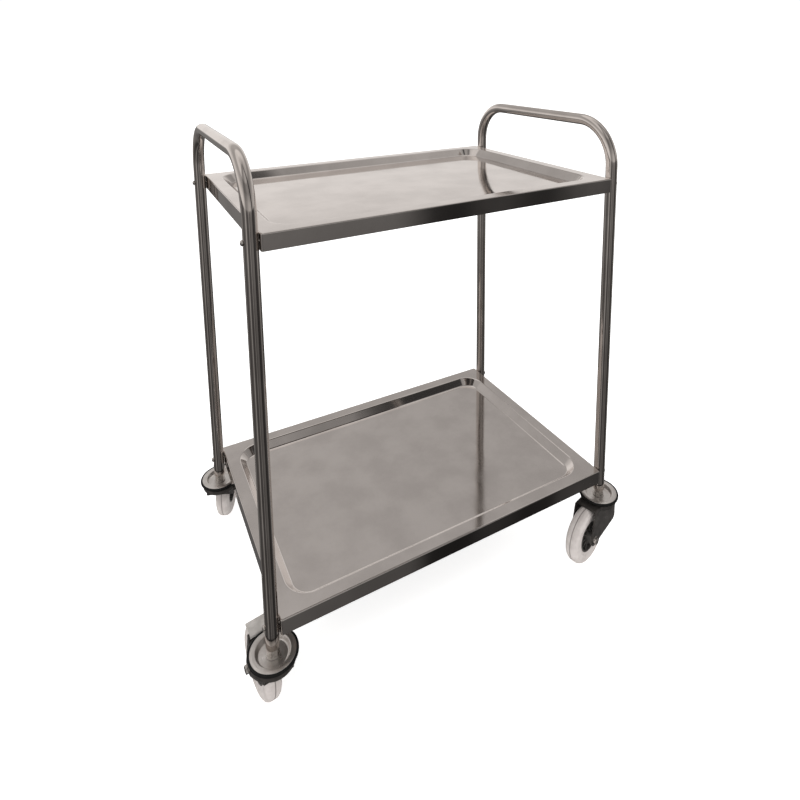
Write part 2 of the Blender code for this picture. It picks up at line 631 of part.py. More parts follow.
def centre_on_floor(root):
    """Move the whole cart so that the centre of its box stands over the origin."""
    bpy.context.view_layer.update()
    depsgraph = bpy.context.evaluated_depsgraph_get()
    corners = []
    for obj in bpy.data.collections[PARTS].objects:
        if obj.type == "MESH":
            evaluated = obj.evaluated_get(depsgraph)
            corners += [evaluated.matrix_world @ vert.co for vert in evaluated.data.vertices]
    for axis in (0, 1):
        places = [corner[axis] for corner in corners]
        root.location[axis] -= (min(places) + max(places)) / 2


def main():
    """Build the cart."""
    clear_scene()
    root = make_empty("cart")
    steel = make_material("brushed_stainless_steel", (0.56, 0.54, 0.52), 0.3, 1.0)
    plated = make_material("zinc_plated_steel", (0.62, 0.61, 0.6), 0.35, 1.0)
    dark = make_material("dark_painted_steel", (0.08, 0.08, 0.08), 0.45, 0.3)
    rubber = make_material("black_rubber", (0.02, 0.02, 0.02), 0.6, 0.0)
    tyre_rubber = make_material("grey_rubber", (0.55, 0.51, 0.49), 0.6, 0.0)
    nylon = make_material("dark_grey_nylon", (0.06, 0.06, 0.06), 0.5, 0.0)
    trays = build_trays(root, steel)
    frames = build_frames(root, steel)
    build_tray_fasteners(root, trays, frames, plated)
    build_castors(root, (steel, plated, dark, rubber, tyre_rubber, nylon))
    centre_on_floor(root)


main()
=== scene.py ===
"""Instrument cart: the visual model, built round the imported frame.

Two pressed steel trays are bolted between two bent-tube end frames, which stand on four swivel castors.
Lengths are in metres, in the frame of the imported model: +X along the trays, +Y to the back, +Z up.
"""

from __future__ import annotations

import logging
import math
from collections.abc import Callable, Iterable, Sequence
from dataclasses import dataclass
from enum import Enum

import bmesh
import bpy
from mathutils import Matrix, Vector


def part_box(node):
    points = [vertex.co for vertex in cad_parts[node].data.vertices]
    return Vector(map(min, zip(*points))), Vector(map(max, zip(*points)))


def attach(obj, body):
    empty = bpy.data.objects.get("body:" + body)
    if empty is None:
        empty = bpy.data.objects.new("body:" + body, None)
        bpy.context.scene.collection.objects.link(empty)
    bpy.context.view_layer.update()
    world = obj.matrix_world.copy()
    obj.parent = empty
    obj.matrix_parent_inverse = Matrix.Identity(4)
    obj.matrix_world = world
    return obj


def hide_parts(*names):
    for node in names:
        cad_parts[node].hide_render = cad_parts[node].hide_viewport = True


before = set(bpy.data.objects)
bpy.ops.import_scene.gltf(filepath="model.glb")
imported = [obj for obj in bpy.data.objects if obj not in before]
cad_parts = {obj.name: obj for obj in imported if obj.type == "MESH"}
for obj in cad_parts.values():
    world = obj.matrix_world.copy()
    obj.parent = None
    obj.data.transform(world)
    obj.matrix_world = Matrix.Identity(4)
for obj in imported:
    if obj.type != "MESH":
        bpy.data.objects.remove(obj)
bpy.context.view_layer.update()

LOG = logging.getLogger("instrument_cart")
MM = 0.001
CORNERS = ("front_left", "front_right", "rear_left", "rear_right")
BRAKED = ("front_left", "rear_left")
SHARP_ANGLE = math.radians(35.0)
WHEEL_RADIUS = 62.5 * MM
PLAY = 0.3 * MM  # gap between two pieces that meet
PIN_PLACE = (52.0 * MM, 134.6 * MM)  # the brake's pin: how far behind the swivel axis, and how high
PIN_BARREL = 4.6 * MM  # radius of what surrounds the pin
ACROSS = Matrix.Rotation(-math.pi / 2, 4, "X")  # lays a piece made along Z on the Y axis
UPRIGHT = Matrix.Rotation(math.pi / 2, 4, "X")  # stands an outline drawn in X and Y up in X and Z

Point2 = tuple[float, float]
Point3 = tuple[float, float, float]
Corner = tuple[float, float, float]  # an outline's corner: two coordinates and its rounding


class Slot(Enum):
    """The record's material slots."""

    TUBE = "tube_steel"
    TRAY = "tray_steel"
    DISC = "disc_steel"
    PLATED = "plated_steel"
    PEDAL = "pedal_steel"
    FORK = "fork_metal"
    BUMPER = "bumper_rubber"
    TYRE = "tyre_rubber"
    HUB = "hub_plastic"


# ---------------------------------------------------------------- node trees


def linear(code: str) -> tuple[float, float, float, float]:
    """Turn an sRGB hex colour to linear.

    Args:
        code: Six hex digits after a hash sign.

    Returns:
        Linear red, green, blue, and an alpha of 1.
    """
    parts = [int(code[i : i + 2], 16) / 255.0 for i in (1, 3, 5)]
    red, green, blue = (c / 12.92 if c <= 0.04045 else ((c + 0.055) / 1.055) ** 2.4 for c in parts)
    return (red, green, blue, 1.0)


def add_node(tree: bpy.types.NodeTree, kind: str, inputs: dict | None = None, **settings: object) -> bpy.types.Node:
    """Add a node with its settings, input values and links.

    Args:
        tree: The tree that takes the node.
        kind: The node's type name.
        inputs: A value or an output socket for each input, by name or number.
        **settings: The node's own properties.

    Returns:
        The new node.
    """
    made = tree.nodes.new(kind)
    for name, value in settings.items():
        setattr(made, name, value)
    for key, value in (inputs or {}).items():
        if isinstance(value, bpy.types.NodeSocket):
            tree.links.new(value, made.inputs[key])
        else:
            made.inputs[key].default_value = value
    return made


def ramp_of(tree: bpy.types.NodeTree, value: bpy.types.NodeSocket,
            stops: Sequence[tuple[float, float]]) -> bpy.types.NodeSocket:
    """Map a value through a grey ramp that eases between its stops.

    Args:
        tree: The tree that takes the ramp.
        value: The socket to map.
        stops: Pairs of position and grey level.

    Returns:
        The ramp's colour socket.
    """
    made = add_node(tree, "ShaderNodeValToRGB", {"Fac": value})
    ramp = made.color_ramp
    ramp.interpolation = "EASE"
    while len(ramp.elements) < len(stops):
        ramp.elements.new(0.5)
    for element, (position, grey) in zip(ramp.elements, sorted(stops)):
        element.position = position
        element.color = (grey, grey, grey, 1.0)
    return made.outputs["Color"]


def blended(tree: bpy.types.NodeTree, factor: object, first: object, second: object,
            blend: str = "MIX") -> bpy.types.NodeSocket:
    """Mix two colours.

    Args:
        tree: The tree that takes the node.
        factor: Share of the second colour, a value or a socket.
        first: The first colour, a value or a socket.
        second: The second colour, a value or a socket.
        blend: The way they are mixed.

    Returns:
        The mixed colour's socket.
    """
    return add_node(tree, "ShaderNodeMix", {"Factor": factor, "A": first, "B": second},
                    data_type="RGBA", blend_type=blend).outputs["Result"]


def end_group(tree: bpy.types.NodeTree, given: bpy.types.Node, geometry: bpy.types.NodeSocket) -> None:
    """End a Geometry Nodes group: real geometry with the group's material.

    Args:
        tree: The group.
        given: Its input node, which has a Material.
        geometry: What it makes.
    """
    real = add_node(tree, "GeometryNodeRealizeInstances", {"Geometry": geometry})
    dressed = add_node(tree, "GeometryNodeSetMaterial",
                       {"Geometry": real.outputs["Geometry"], "Material": given.outputs["Material"]})
    add_node(tree, "NodeGroupOutput", {"Geometry": dressed.outputs["Geometry"]})


def new_group(name: str, sockets: Iterable[tuple[str, str, object]]) -> bpy.types.NodeTree:
    """Make an empty Geometry Nodes group with named inputs.

    Args:
        name: The group's name.
        sockets: Name, socket type and default value of each input after the geometry.

    Returns:
        The group, with a geometry input and output.
    """
    tree = bpy.data.node_groups.new(name, "GeometryNodeTree")
    tree.interface.new_socket("Geometry", in_out="INPUT", socket_type="NodeSocketGeometry")
    tree.interface.new_socket("Geometry", in_out="OUTPUT", socket_type="NodeSocketGeometry")
    for label, kind, default in sockets:
        socket = tree.interface.new_socket(label, in_out="INPUT", socket_type=kind)
        if default is not None:
            socket.default_value = default
    return tree


# ---------------------------------------------------------------- finishes


@dataclass(frozen=True)
class Finish:
    """What every finish shares: its name, colour, gloss and the record's slot."""

    name: str
    slot: Slot
    colour: str
    shade: str
    roughness: float
    spread: float  # how far the roughness varies to each side
    patch: float  # size of the cloudy variation, in mm

    def material(self) -> bpy.types.Material:
        """Return the finish's material, made on first use."""
        found = bpy.data.materials.get(self.name)
        if found is not None:
            return found
        made = bpy.data.materials.new(self.name)
        made.use_nodes = True
        made.node_tree.nodes.clear()
        self.fill(made.node_tree)
        return made

    def fill(self, tree: bpy.types.NodeTree) -> None:
        """Build the finish's nodes.

        Args:
            tree: The material's empty tree.
        """
        place = add_node(tree, "ShaderNodeTexCoord").outputs["Object"]
        clouds = add_node(tree, "ShaderNodeTexNoise",
                          {"Vector": place, "Scale": 1000.0 / self.patch, "Detail": 4.0, "Roughness": 0.55})
        share = ramp_of(tree, clouds.outputs["Fac"], ((0.3, 0.0), (0.7, 1.0)))
        tint = blended(tree, share, linear(self.colour), linear(self.shade))
        gloss = add_node(tree, "ShaderNodeMapRange",
                         {"Value": clouds.outputs["Fac"], "From Min": 0.3, "From Max": 0.7,
                          "To Min": self.roughness - self.spread, "To Max": self.roughness + self.spread})
        shader = add_node(tree, "ShaderNodeBsdfPrincipled",
                          {"Base Color": self.coloured(tree, tint),
                           "Roughness": gloss.outputs["Result"], "Normal": self.relief(tree, place)})
        self.tune(shader)
        add_node(tree, "ShaderNodeOutputMaterial", {"Surface": shader.outputs["BSDF"]})

    def coloured(self, tree: bpy.types.NodeTree, base: bpy.types.NodeSocket) -> bpy.types.NodeSocket:
        """Return the colour socket; a finish may draw more on the base colour."""
        return base

    def relief(self, tree: bpy.types.NodeTree, place: bpy.types.NodeSocket) -> bpy.types.NodeSocket:
        """Return the normal that carries the finish's fine relief.

        Args:
            tree: The material's tree.
            place: The coordinate socket, in metres.

        Returns:
            A normal socket.
        """
        grain = add_node(tree, "ShaderNodeTexNoise", {"Vector": place, "Scale": 1000.0 / 1.5, "Detail": 2.0})
        return add_node(tree, "ShaderNodeBump", {"Height": grain.outputs["Fac"], "Strength": 0.15,
                                                 "Distance": 0.2 * MM}).outputs["Normal"]

    def tune(self, shader: bpy.types.Node) -> None:
        """Set the shader's values that are the same all over."""


@dataclass(frozen=True)
class Metal(Finish):
    """A bare or plated metal: full metallic, with scratches along one direction and a slight waviness."""

    grain: tuple[float, float, float] = (1.0, 1.0, 1.0)  # spacing of the scratches on each axis, in mm
    grain_depth: float = 0.004  # in mm
    wave: float = 90.0  # length of the sheet's unevenness, in mm
    wave_depth: float = 0.0  # in mm
    attribute: str = ""  # a vector attribute that the grain follows instead of the object's axes

    def relief(self, tree: bpy.types.NodeTree, place: bpy.types.NodeSocket) -> bpy.types.NodeSocket:
        """Return a normal with the waviness of the sheet and the polishing marks on it."""
        along = place
        if self.attribute:
            along = add_node(tree, "ShaderNodeAttribute", attribute_name=self.attribute).outputs["Vector"]
        swell = add_node(tree, "ShaderNodeTexNoise",
                         {"Vector": place, "Scale": 1000.0 / self.wave, "Detail": 1.0, "Roughness": 0.4})
        bowed = add_node(tree, "ShaderNodeBump", {"Height": swell.outputs["Fac"], "Strength": 1.0,
                                                  "Distance": self.wave_depth * MM})
        stretched = add_node(tree, "ShaderNodeMapping",
                             {"Vector": along, "Scale": tuple(1000.0 / size for size in self.grain)})
        marks = add_node(tree, "ShaderNodeTexNoise",
                         {"Vector": stretched.outputs["Vector"], "Scale": 1.0, "Detail": 3.0, "Roughness": 0.6})
        return add_node(tree, "ShaderNodeBump", {"Height": marks.outputs["Fac"], "Strength": 1.0,
                                                 "Distance": self.grain_depth * MM,
                                                 "Normal": bowed.outputs["Normal"]}).outputs["Normal"]

    def tune(self, shader: bpy.types.Node) -> None:
        """Make the shader a metal."""
        shader.inputs["Metallic"].default_value = 1.0


@dataclass(frozen=True)
class Coated(Finish):
    """A coated pressing: a thin satin coat over steel, with fine orange peel."""

    metallic: float = 0.55

    def tune(self, shader: bpy.types.Node) -> None:
        """Set how much of the metal shows through the coat."""
        shader.inputs["Metallic"].default_value = self.metallic


@dataclass(frozen=True)
class Rubber(Finish):
    """A moulded rubber; a tyre's also gets painted shade, a darker line along the groove at its middle."""

    # The colour of the painted shade that darkens the groove at a tyre's middle.
    line: str = ""
    line_half: float = 0.9  # half the width of the painted shade line, in mm

    def coloured(self, tree: bpy.types.NodeTree, base: bpy.types.NodeSocket) -> bpy.types.NodeSocket:
        """Paint shade into the tyre's middle groove: a darker line on the base colour, from the distance to the tyre's
        middle.
        """
        if not self.line:
            return base
        # Painted shade: the colour darkens near the tyre's middle, where the groove is.
        height = add_node(tree, "ShaderNodeAttribute", attribute_name="height").outputs["Fac"]
        near = add_node(tree, "ShaderNodeMath", {0: height}, operation="ABSOLUTE")
        share = add_node(tree, "ShaderNodeMapRange",
                         {"Value": near.outputs["Value"], "From Min": 0.6 * self.line_half * MM,
                          "From Max": 1.6 * self.line_half * MM, "To Min": 1.0, "To Max": 0.0})
        return blended(tree, share.outputs["Result"], base, linear(self.line))

    def tune(self, shader: bpy.types.Node) -> None:
        """Give the shader rubber's index of refraction."""
        shader.inputs["IOR"].default_value = 1.52


@dataclass(frozen=True)
class Plastic(Finish):
    """Moulded nylon: a fine spark-eroded texture under a soft gloss."""

    def tune(self, shader: bpy.types.Node) -> None:
        """Give the shader nylon's index of refraction."""
        shader.inputs["IOR"].default_value = 1.53


# Cold-rolled stainless sheet, bright annealed: it mirrors softly, with fine lines along the rolling direction.
# The real lines are under 0.1 mm apart; they are drawn 1.6 mm apart so that they show.
TRAY_STEEL = Metal("stainless_sheet_bright_annealed", Slot.TRAY, "#E4DEDA", "#D6D0CC", 0.08, 0.03, 90.0,
                   grain=(60.0, 1.6, 60.0), grain_depth=0.0016, wave=110.0, wave_depth=0.35)
# Drawn and polished stainless tube: close to a mirror, with faint polishing lines along its length.
TUBE_STEEL = Metal("stainless_tube_polished", Slot.TUBE, "#E2DBD6", "#D2CBC6", 0.07, 0.03, 60.0,
                   grain=(1.2, 1.2, 50.0), grain_depth=0.0003, wave=60.0, wave_depth=0.02,
                   attribute="tube_place")
# Zinc-plated pressing: satin, with a fine even grain.
DISC_STEEL = Metal("zinc_plated_pressing", Slot.DISC, "#ECE8E4", "#DDD8D4", 0.3, 0.04, 18.0,
                   grain=(2.0, 2.0, 2.0), grain_depth=0.0008, wave=30.0, wave_depth=0.02)
# Zinc-plated and passivated fasteners: bright, slightly cloudy.
PLATED_STEEL = Metal("zinc_plated_fastener", Slot.PLATED, "#E6E2DE", "#C9C4BF", 0.24, 0.06, 6.0,
                     grain=(1.5, 1.5, 1.5), grain_depth=0.0006, wave=12.0, wave_depth=0.008)
# Zinc-coated lever: duller than the fasteners, because it is rubbed by shoes.
PEDAL_STEEL = Coated("zinc_coated_lever_worn", Slot.PEDAL, "#D6D1CC", "#BEB9B4", 0.5, 0.06, 12.0, metallic=0.25)
# Coated pressed fork: dark satin with fine orange peel.
FORK_COAT = Coated("dark_coated_pressed_steel", Slot.FORK, "#4E4A47", "#403D3B", 0.32, 0.05, 14.0)
# Black rubber ring: matt.
BUMPER_RUBBER = Rubber("black_moulded_rubber", Slot.BUMPER, "#0C0B0B", "#070707", 0.75, 0.06, 10.0)
# Light grey rubber, with painted shade: a darker line along the groove at the parting line.
TYRE_RUBBER = Rubber("light_grey_moulded_rubber", Slot.TYRE, "#C6BFBB", "#B4ACA8", 0.52, 0.06, 22.0,
                     line="#7E7774")
# Dark nylon hub: a soft gloss.
HUB_NYLON = Plastic("dark_grey_moulded_nylon", Slot.HUB, "#4A4744", "#3A3836", 0.3, 0.05, 9.0)


# ---------------------------------------------------------------- meshes


def filleted(corners: Sequence[Corner], steps: int = 4, closed: bool = False) -> list[Point2]:
    """Round the corners of a polyline with arcs.

    Args:
        corners: Each corner's two coordinates and its radius; 0 leaves it sharp.
        steps: Straight pieces in each arc.
        closed: Whether the last corner joins the first.

    Returns:
        The points of the rounded polyline.
    """
    points: list[Point2] = []
    count = len(corners)
    for index, (x, y, radius) in enumerate(corners):
        here = Vector((x, y))
        if radius <= 0.0 or (not closed and index in (0, count - 1)):
            points.append((x, y))
            continue
        before = (Vector(corners[index - 1][:2]) - here).normalized()
        after = (Vector(corners[(index + 1) % count][:2]) - here).normalized()
        half = before.angle(after) / 2
        sweep = math.pi - 2 * half
        centre = here + (before + after).normalized() * (radius / math.sin(half))
        start = here + before * (radius / math.tan(half)) - centre
        end = here + after * (radius / math.tan(half)) - centre
        for step in range(steps + 1):
            share = step / steps
            spoke = (start * math.sin((1 - share) * sweep) + end * math.sin(share * sweep)) / math.sin(sweep)
            points.append((centre.x + spoke.x, centre.y + spoke.y))
    return points


def skinned(name: str, rings: Sequence[Sequence[Vector]], loop: bool = False,
            caps: tuple[bool, bool] = (False, False)) -> bpy.types.Mesh:
    """Join rings of equal length into a skin with its faces outward.

    Args:
        name: The mesh's name.
        rings: Closed rings of points, in order.
        loop: Whether the last ring joins the first.
        caps: Whether the first and the last ring are closed by a face.

    Returns:
        The mesh.
    """
    mesh = bpy.data.meshes.new(name)
    bm = bmesh.new()
    rows = [[bm.verts.new(point) for point in ring] for ring in rings]
    following = rows[1:] + (rows[:1] if loop else [])
    for row, other in zip(rows, following):
        for index, vert in enumerate(row):
            after = (index + 1) % len(row)
            bm.faces.new((vert, row[after], other[after], other[index]))
    for row, wanted in zip((rows[0], rows[-1]), caps):
        if wanted:
            bm.faces.new(row)
    bmesh.ops.recalc_face_normals(bm, faces=bm.faces)
    bm.to_mesh(mesh)
    bm.free()
    return mesh


def turned(name: str, profile: Sequence[Point2], steps: int) -> bpy.types.Mesh:
    """Turn a profile of radius and height round Z, and keep the height as an attribute.

    Args:
        name: The mesh's name.
        profile: A closed outline clear of the axis, or an open one with both ends on it.
        steps: Sides of the turned shape.

    Returns:
        The mesh, with the point attribute "height".
    """
    on_axis = profile[0][0] < 1e-7
    wanted = [point for point in profile if point[0] > 1e-7]
    angles = [2 * math.pi * step / steps for step in range(steps)]
    rings = [[Vector((r * math.cos(a), r * math.sin(a), z)) for a in angles] for r, z in wanted]
    mesh = skinned(name, rings, loop=not on_axis, caps=(on_axis, on_axis))
    layer = mesh.attributes.new("height", "FLOAT", "POINT")
    layer.data.foreach_set("value", [height for _, height in wanted for _ in angles])
    return mesh


def rounded_box(name: str, outline: Sequence[Point2], low: float, high: float, edge: float,
                segments: int = 2) -> bpy.types.Mesh:
    """Return a prism along Z with every sharp edge rounded.

    Args:
        name: The mesh's name.
        outline: The prism's outline in X and Y.
        low: The prism's lower end.
        high: The prism's upper end.
        edge: How far the rounding reaches from an edge.
        segments: Steps in the rounding.

    Returns:
        The mesh.
    """
    rings = [[Vector((x, y, z)) for x, y in outline] for z in (low, high)]
    mesh = skinned(name, rings, caps=(True, True))
    if edge > 0.0:
        edit_mesh(mesh, lambda bm: bmesh.ops.bevel(
            bm, geom=[e for e in bm.edges if e.calc_face_angle(0.0) > SHARP_ANGLE], affect="EDGES",
            offset=edge, segments=segments, profile=0.5, clamp_overlap=True))
    return mesh


def polygon(sides: int, radius: float) -> list[Point2]:
    """Return a regular polygon's corners."""
    return [(radius * math.cos(2 * math.pi * i / sides), radius * math.sin(2 * math.pi * i / sides))
            for i in range(sides)]


def six_sided(across: float) -> list[Point2]:
    """Return a hexagon's corners from its width across flats."""
    return polygon(6, across / math.sqrt(3.0))


def two_sided(side: Sequence[Corner]) -> list[Corner]:
    """Return an outline of radius and height, closed by its own mirror image below."""
    return [*side, *((r, -z, rounding) for r, z, rounding in reversed(side))]


def edit_mesh(mesh: bpy.types.Mesh, change: Callable[[bmesh.types.BMesh], object]) -> bpy.types.Mesh:
    """Change a mesh in place.

    Args:
        mesh: The mesh to change.
        change: A function that changes it as a BMesh.

    Returns:
        The same mesh.
    """
    bm = bmesh.new()
    bm.from_mesh(mesh)
    change(bm)
    bm.to_mesh(mesh)
    bm.free()
    return mesh


def joined(name: str, meshes: Iterable[bpy.types.Mesh]) -> bpy.types.Mesh:
    """Return one mesh that holds several.

    Args:
        name: The new mesh's name.
        meshes: The meshes to join.

    Returns:
        The joined mesh.
    """
    whole = bpy.data.meshes.new(name)
    bm = bmesh.new()
    for mesh in meshes:
        bm.from_mesh(mesh)
    bm.to_mesh(whole)
    bm.free()
    return whole


def work_object(name: str, data: bpy.types.ID) -> bpy.types.Object:
    """Return an object that only lives while a piece is made."""
    made = bpy.data.objects.new(name, data)
    bpy.context.scene.collection.objects.link(made)
    return made


def baked(name: str, obj: bpy.types.Object) -> bpy.types.Mesh:
    """Turn an object's modifiers into a plain mesh and drop the object.

    Args:
        name: The mesh's name.
        obj: The object to evaluate.

    Returns:
        The evaluated mesh.
    """
    bpy.context.view_layer.update()
    depsgraph = bpy.context.evaluated_depsgraph_get()
    mesh = bpy.data.meshes.new_from_object(obj.evaluated_get(depsgraph), depsgraph=depsgraph)
    mesh.name = name
    bpy.data.objects.remove(obj)
    return mesh


def carved(name: str, base: bpy.types.Mesh, tools: Sequence[tuple[str, bpy.types.Mesh]]) -> bpy.types.Mesh:
    """Add and cut solids.

    Args:
        name: The mesh's name.
        base: The solid to start from.
        tools: An operation, UNION or DIFFERENCE, and its solid, in order.

    Returns:
        The resulting mesh.
    """
    obj = work_object(name, base)
    helpers = []
    for index, (operation, tool) in enumerate(tools):
        helper = work_object(f"{name}_tool_{index}", tool)
        helpers.append(helper)
        boolean = obj.modifiers.new(helper.name, "BOOLEAN")
        boolean.operation = operation
        boolean.solver = "EXACT"
        boolean.object = helper
    mesh = baked(name, obj)
    for helper in helpers:
        bpy.data.objects.remove(helper)
    return mesh


def node_modifier(obj: bpy.types.Object, tree: bpy.types.NodeTree, values: dict[str, object]) -> None:
    """Give an object a Geometry Nodes modifier.

    Args:
        obj: The object that takes it.
        tree: The node group.
        values: A value for each named input.
    """
    modifier = obj.modifiers.new(tree.name, "NODES")
    modifier.node_group = tree
    for item in tree.interface.items_tree:
        if item.item_type == "SOCKET" and item.in_out == "INPUT" and item.name in values:
            modifier[item.identifier] = values[item.name]


def flat_weighted(mesh: bpy.types.Mesh) -> bpy.types.Mesh:
    """Shade a mesh smoothly, with its large faces flat and its sharp edges kept."""
    mesh.shade_smooth()
    mesh.set_sharp_from_angle(angle=SHARP_ANGLE)
    obj = work_object("weighting", mesh)
    weighting = obj.modifiers.new("weighting", "WEIGHTED_NORMAL")
    weighting.keep_sharp = True
    weighting.weight = 100
    return baked(mesh.name, obj)


def show(name: str, mesh: bpy.types.Mesh, finish: Finish, body: str, nodes: Sequence[str]) -> None:
    """Add a finished piece that stands for CAD nodes.

    Args:
        name: The piece's name.
        mesh: Its mesh, in place.
        finish: Its finish.
        body: The CAD body that it rides on.
        nodes: The CAD nodes that it replaces.
    """
    mesh.materials.clear()
    mesh.materials.append(finish.material())
    piece = bpy.data.objects.new(name, mesh)
    bpy.context.scene.collection.objects.link(piece)
    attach(piece, body)
    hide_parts(*nodes)


def box_of(node: str) -> tuple[Vector, Vector]:
    """Return the lowest and the highest corner of a CAD node's box."""
    low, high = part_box(node)
    return Vector(low), Vector(high)


def box_centre(node: str) -> Vector:
    """Return the middle of a CAD node's box."""
    low, high = box_of(node)
    return (low + high) / 2


# ---------------------------------------------------------------- trays


@dataclass
class Tray:
    """A pressed tray: flat rim, sunk floor with sloping walls, and a turned-down flange."""

    node: str
    sheet: float = 1.2 * MM
    flange: float = 30.0 * MM
    rim: float = 28.0 * MM
    recess: float = 17.0 * MM
    slope: float = 16.0 * MM
    recess_corner: float = 48.0 * MM
    outer_corner: float = 4.0 * MM
    outer_fold: float = 2.4 * MM
    rim_fold: float = 5.0 * MM
    floor_fold: float = 7.0 * MM
    corner_steps: int = 20
    fold_steps: int = 6

    def ring(self, centre: Vector, half: Point2, inset: float, height: float) -> list[Vector]:
        """Return the rounded rectangle at a distance in from the tray's outline."""
        size_x, size_y = half[0] - inset, half[1] - inset
        if inset < self.outer_fold:
            radius = self.outer_corner
        elif inset < self.rim:
            share = (inset - self.outer_fold) / (self.rim - self.outer_fold)
            radius = self.outer_corner + share * (self.recess_corner - self.outer_corner)
        else:
            radius = self.recess_corner + self.rim - inset
        points = []
        for quarter, (side_x, side_y) in enumerate(((1, 1), (-1, 1), (-1, -1), (1, -1))):
            for step in range(self.corner_steps + 1):
                angle = (quarter + step / self.corner_steps) * math.pi / 2
                points.append(Vector((centre.x + side_x * (size_x - radius) + radius * math.cos(angle),
                                      centre.y + side_y * (size_y - radius) + radius * math.sin(angle),
                                      centre.z + height)))
        return points

    def build(self) -> bpy.types.Mesh:
        """Return the tray's mesh."""
        low, high = box_of(self.node)
        centre = Vector(((low.x + high.x) / 2, (low.y + high.y) / 2, high.z))
        half = ((high.x - low.x) / 2, (high.y - low.y) / 2)
        section = filleted([(0.0, -self.flange, 0.0), (0.0, 0.0, self.outer_fold),
                            (self.rim, 0.0, self.rim_fold),
                            (self.rim + self.slope, -self.recess, self.floor_fold),
                            (self.rim + self.slope + 2 * self.floor_fold, -self.recess, 0.0)], self.fold_steps)
        rings = [self.ring(centre, half, inset, height) for inset, height in section]
        mesh = skinned(self.node, rings, caps=(False, True))
        if max(mesh.polygons, key=lambda face: face.area).normal.z < 0.0:
            mesh.flip_normals()
        obj = work_object(self.node, mesh)
        sheet = obj.modifiers.new("sheet", "SOLIDIFY")
        sheet.thickness = self.sheet
        sheet.offset = -1.0
        sheet.use_even_offset = True
        return flat_weighted(baked(self.node, obj))

    def dress(self) -> None:
        """Build the tray and give it its finish."""
        show(f"{self.node}_pressing", self.build(), TRAY_STEEL, "root", [self.node])


# ---------------------------------------------------------------- end frames


@dataclass
class EndFrame:
    """An inverted U of bent tube: two legs and the push handle in one length."""

    node: str
    tube_radius: float = 12.5 * MM
    wall: float = 1.2 * MM
    bend: float = 95.0 * MM
    sides: int = 48
    bend_steps: int = 28

    @staticmethod
    def tube_group() -> bpy.types.NodeTree:
        """Return the node group that sweeps a tube along a filleted path."""
        name = "bent_tube"
        if name in bpy.data.node_groups:
            return bpy.data.node_groups[name]
        tree = new_group(name, (("Bend Radius", "NodeSocketFloat", 0.095), ("Bend Steps", "NodeSocketInt", 28),
                                ("Tube Radius", "NodeSocketFloat", 0.0125), ("Sides", "NodeSocketInt", 48),
                                ("Material", "NodeSocketMaterial", None)))
        given = add_node(tree, "NodeGroupInput")
        bends = add_node(tree, "GeometryNodeFilletCurve",
                         {"Curve": given.outputs["Geometry"], "Count": given.outputs["Bend Steps"],
                          "Radius": given.outputs["Bend Radius"]}, mode="POLY")
        length = add_node(tree, "GeometryNodeSplineParameter")
        path = add_node(tree, "GeometryNodeStoreNamedAttribute",
                        {"Geometry": bends.outputs["Curve"], "Name": "along", "Value": length.outputs["Length"]},
                        data_type="FLOAT", domain="POINT")
        circle = add_node(tree, "GeometryNodeCurvePrimitiveCircle",
                          {"Resolution": given.outputs["Sides"], "Radius": given.outputs["Tube Radius"]})
        spot = add_node(tree, "GeometryNodeInputPosition")
        section = add_node(tree, "GeometryNodeStoreNamedAttribute",
                           {"Geometry": circle.outputs["Curve"], "Name": "across",
                            "Value": spot.outputs["Position"]}, data_type="FLOAT_VECTOR", domain="POINT")
        swept = add_node(tree, "GeometryNodeCurveToMesh", {"Curve": path.outputs["Geometry"],
                                                           "Profile Curve": section.outputs["Geometry"]})
        along = add_node(tree, "GeometryNodeInputNamedAttribute", {"Name": "along"}, data_type="FLOAT")
        across = add_node(tree, "GeometryNodeInputNamedAttribute", {"Name": "across"}, data_type="FLOAT_VECTOR")
        parts = add_node(tree, "ShaderNodeSeparateXYZ", {"Vector": across.outputs["Attribute"]})
        place = add_node(tree, "ShaderNodeCombineXYZ", {"X": parts.outputs["X"], "Y": parts.outputs["Y"],
                                                        "Z": along.outputs["Attribute"]})
        stored = add_node(tree, "GeometryNodeStoreNamedAttribute",
                          {"Geometry": swept.outputs["Mesh"], "Name": "tube_place",
                           "Value": place.outputs["Vector"]}, data_type="FLOAT_VECTOR", domain="POINT")
        end_group(tree, given, stored.outputs["Geometry"])
        return tree

    def build(self) -> bpy.types.Mesh:
        """Return the frame's mesh."""
        low, high = box_of(self.node)
        x = (low.x + high.x) / 2
        top = high.z - self.tube_radius
        front, back = low.y + self.tube_radius, high.y - self.tube_radius
        curve = bpy.data.curves.new(self.node, "CURVE")
        curve.dimensions = "3D"
        spline = curve.splines.new("POLY")
        spline.points.add(3)
        for point, (y, z) in zip(spline.points, ((front, low.z), (front, top), (back, top), (back, low.z))):
            point.co = (x, y, z, 1.0)
        obj = work_object(self.node, curve)
        node_modifier(obj, self.tube_group(), {"Bend Radius": self.bend, "Bend Steps": self.bend_steps,
                                               "Tube Radius": self.tube_radius, "Sides": self.sides,
                                               "Material": TUBE_STEEL.material()})
        skin = baked(self.node, obj)
        edit_mesh(skin, lambda bm: bmesh.ops.recalc_face_normals(bm, faces=bm.faces))
        outermost = max(skin.polygons, key=lambda face: face.center.x)
        if outermost.normal.x < 0.0:
            skin.flip_normals()
        obj = work_object(self.node, skin)
        wall = obj.modifiers.new("wall", "SOLIDIFY")
        wall.thickness = self.wall
        wall.offset = -1.0
        mesh = baked(self.node, obj)
        mesh.shade_smooth()
        mesh.set_sharp_from_angle(angle=SHARP_ANGLE)
        return mesh

    def dress(self) -> None:
        """Build the frame and give it its finish."""
        show(f"{self.node}_tube", self.build(), TUBE_STEEL, "root", [self.node])


# ---------------------------------------------------------------- tray fasteners


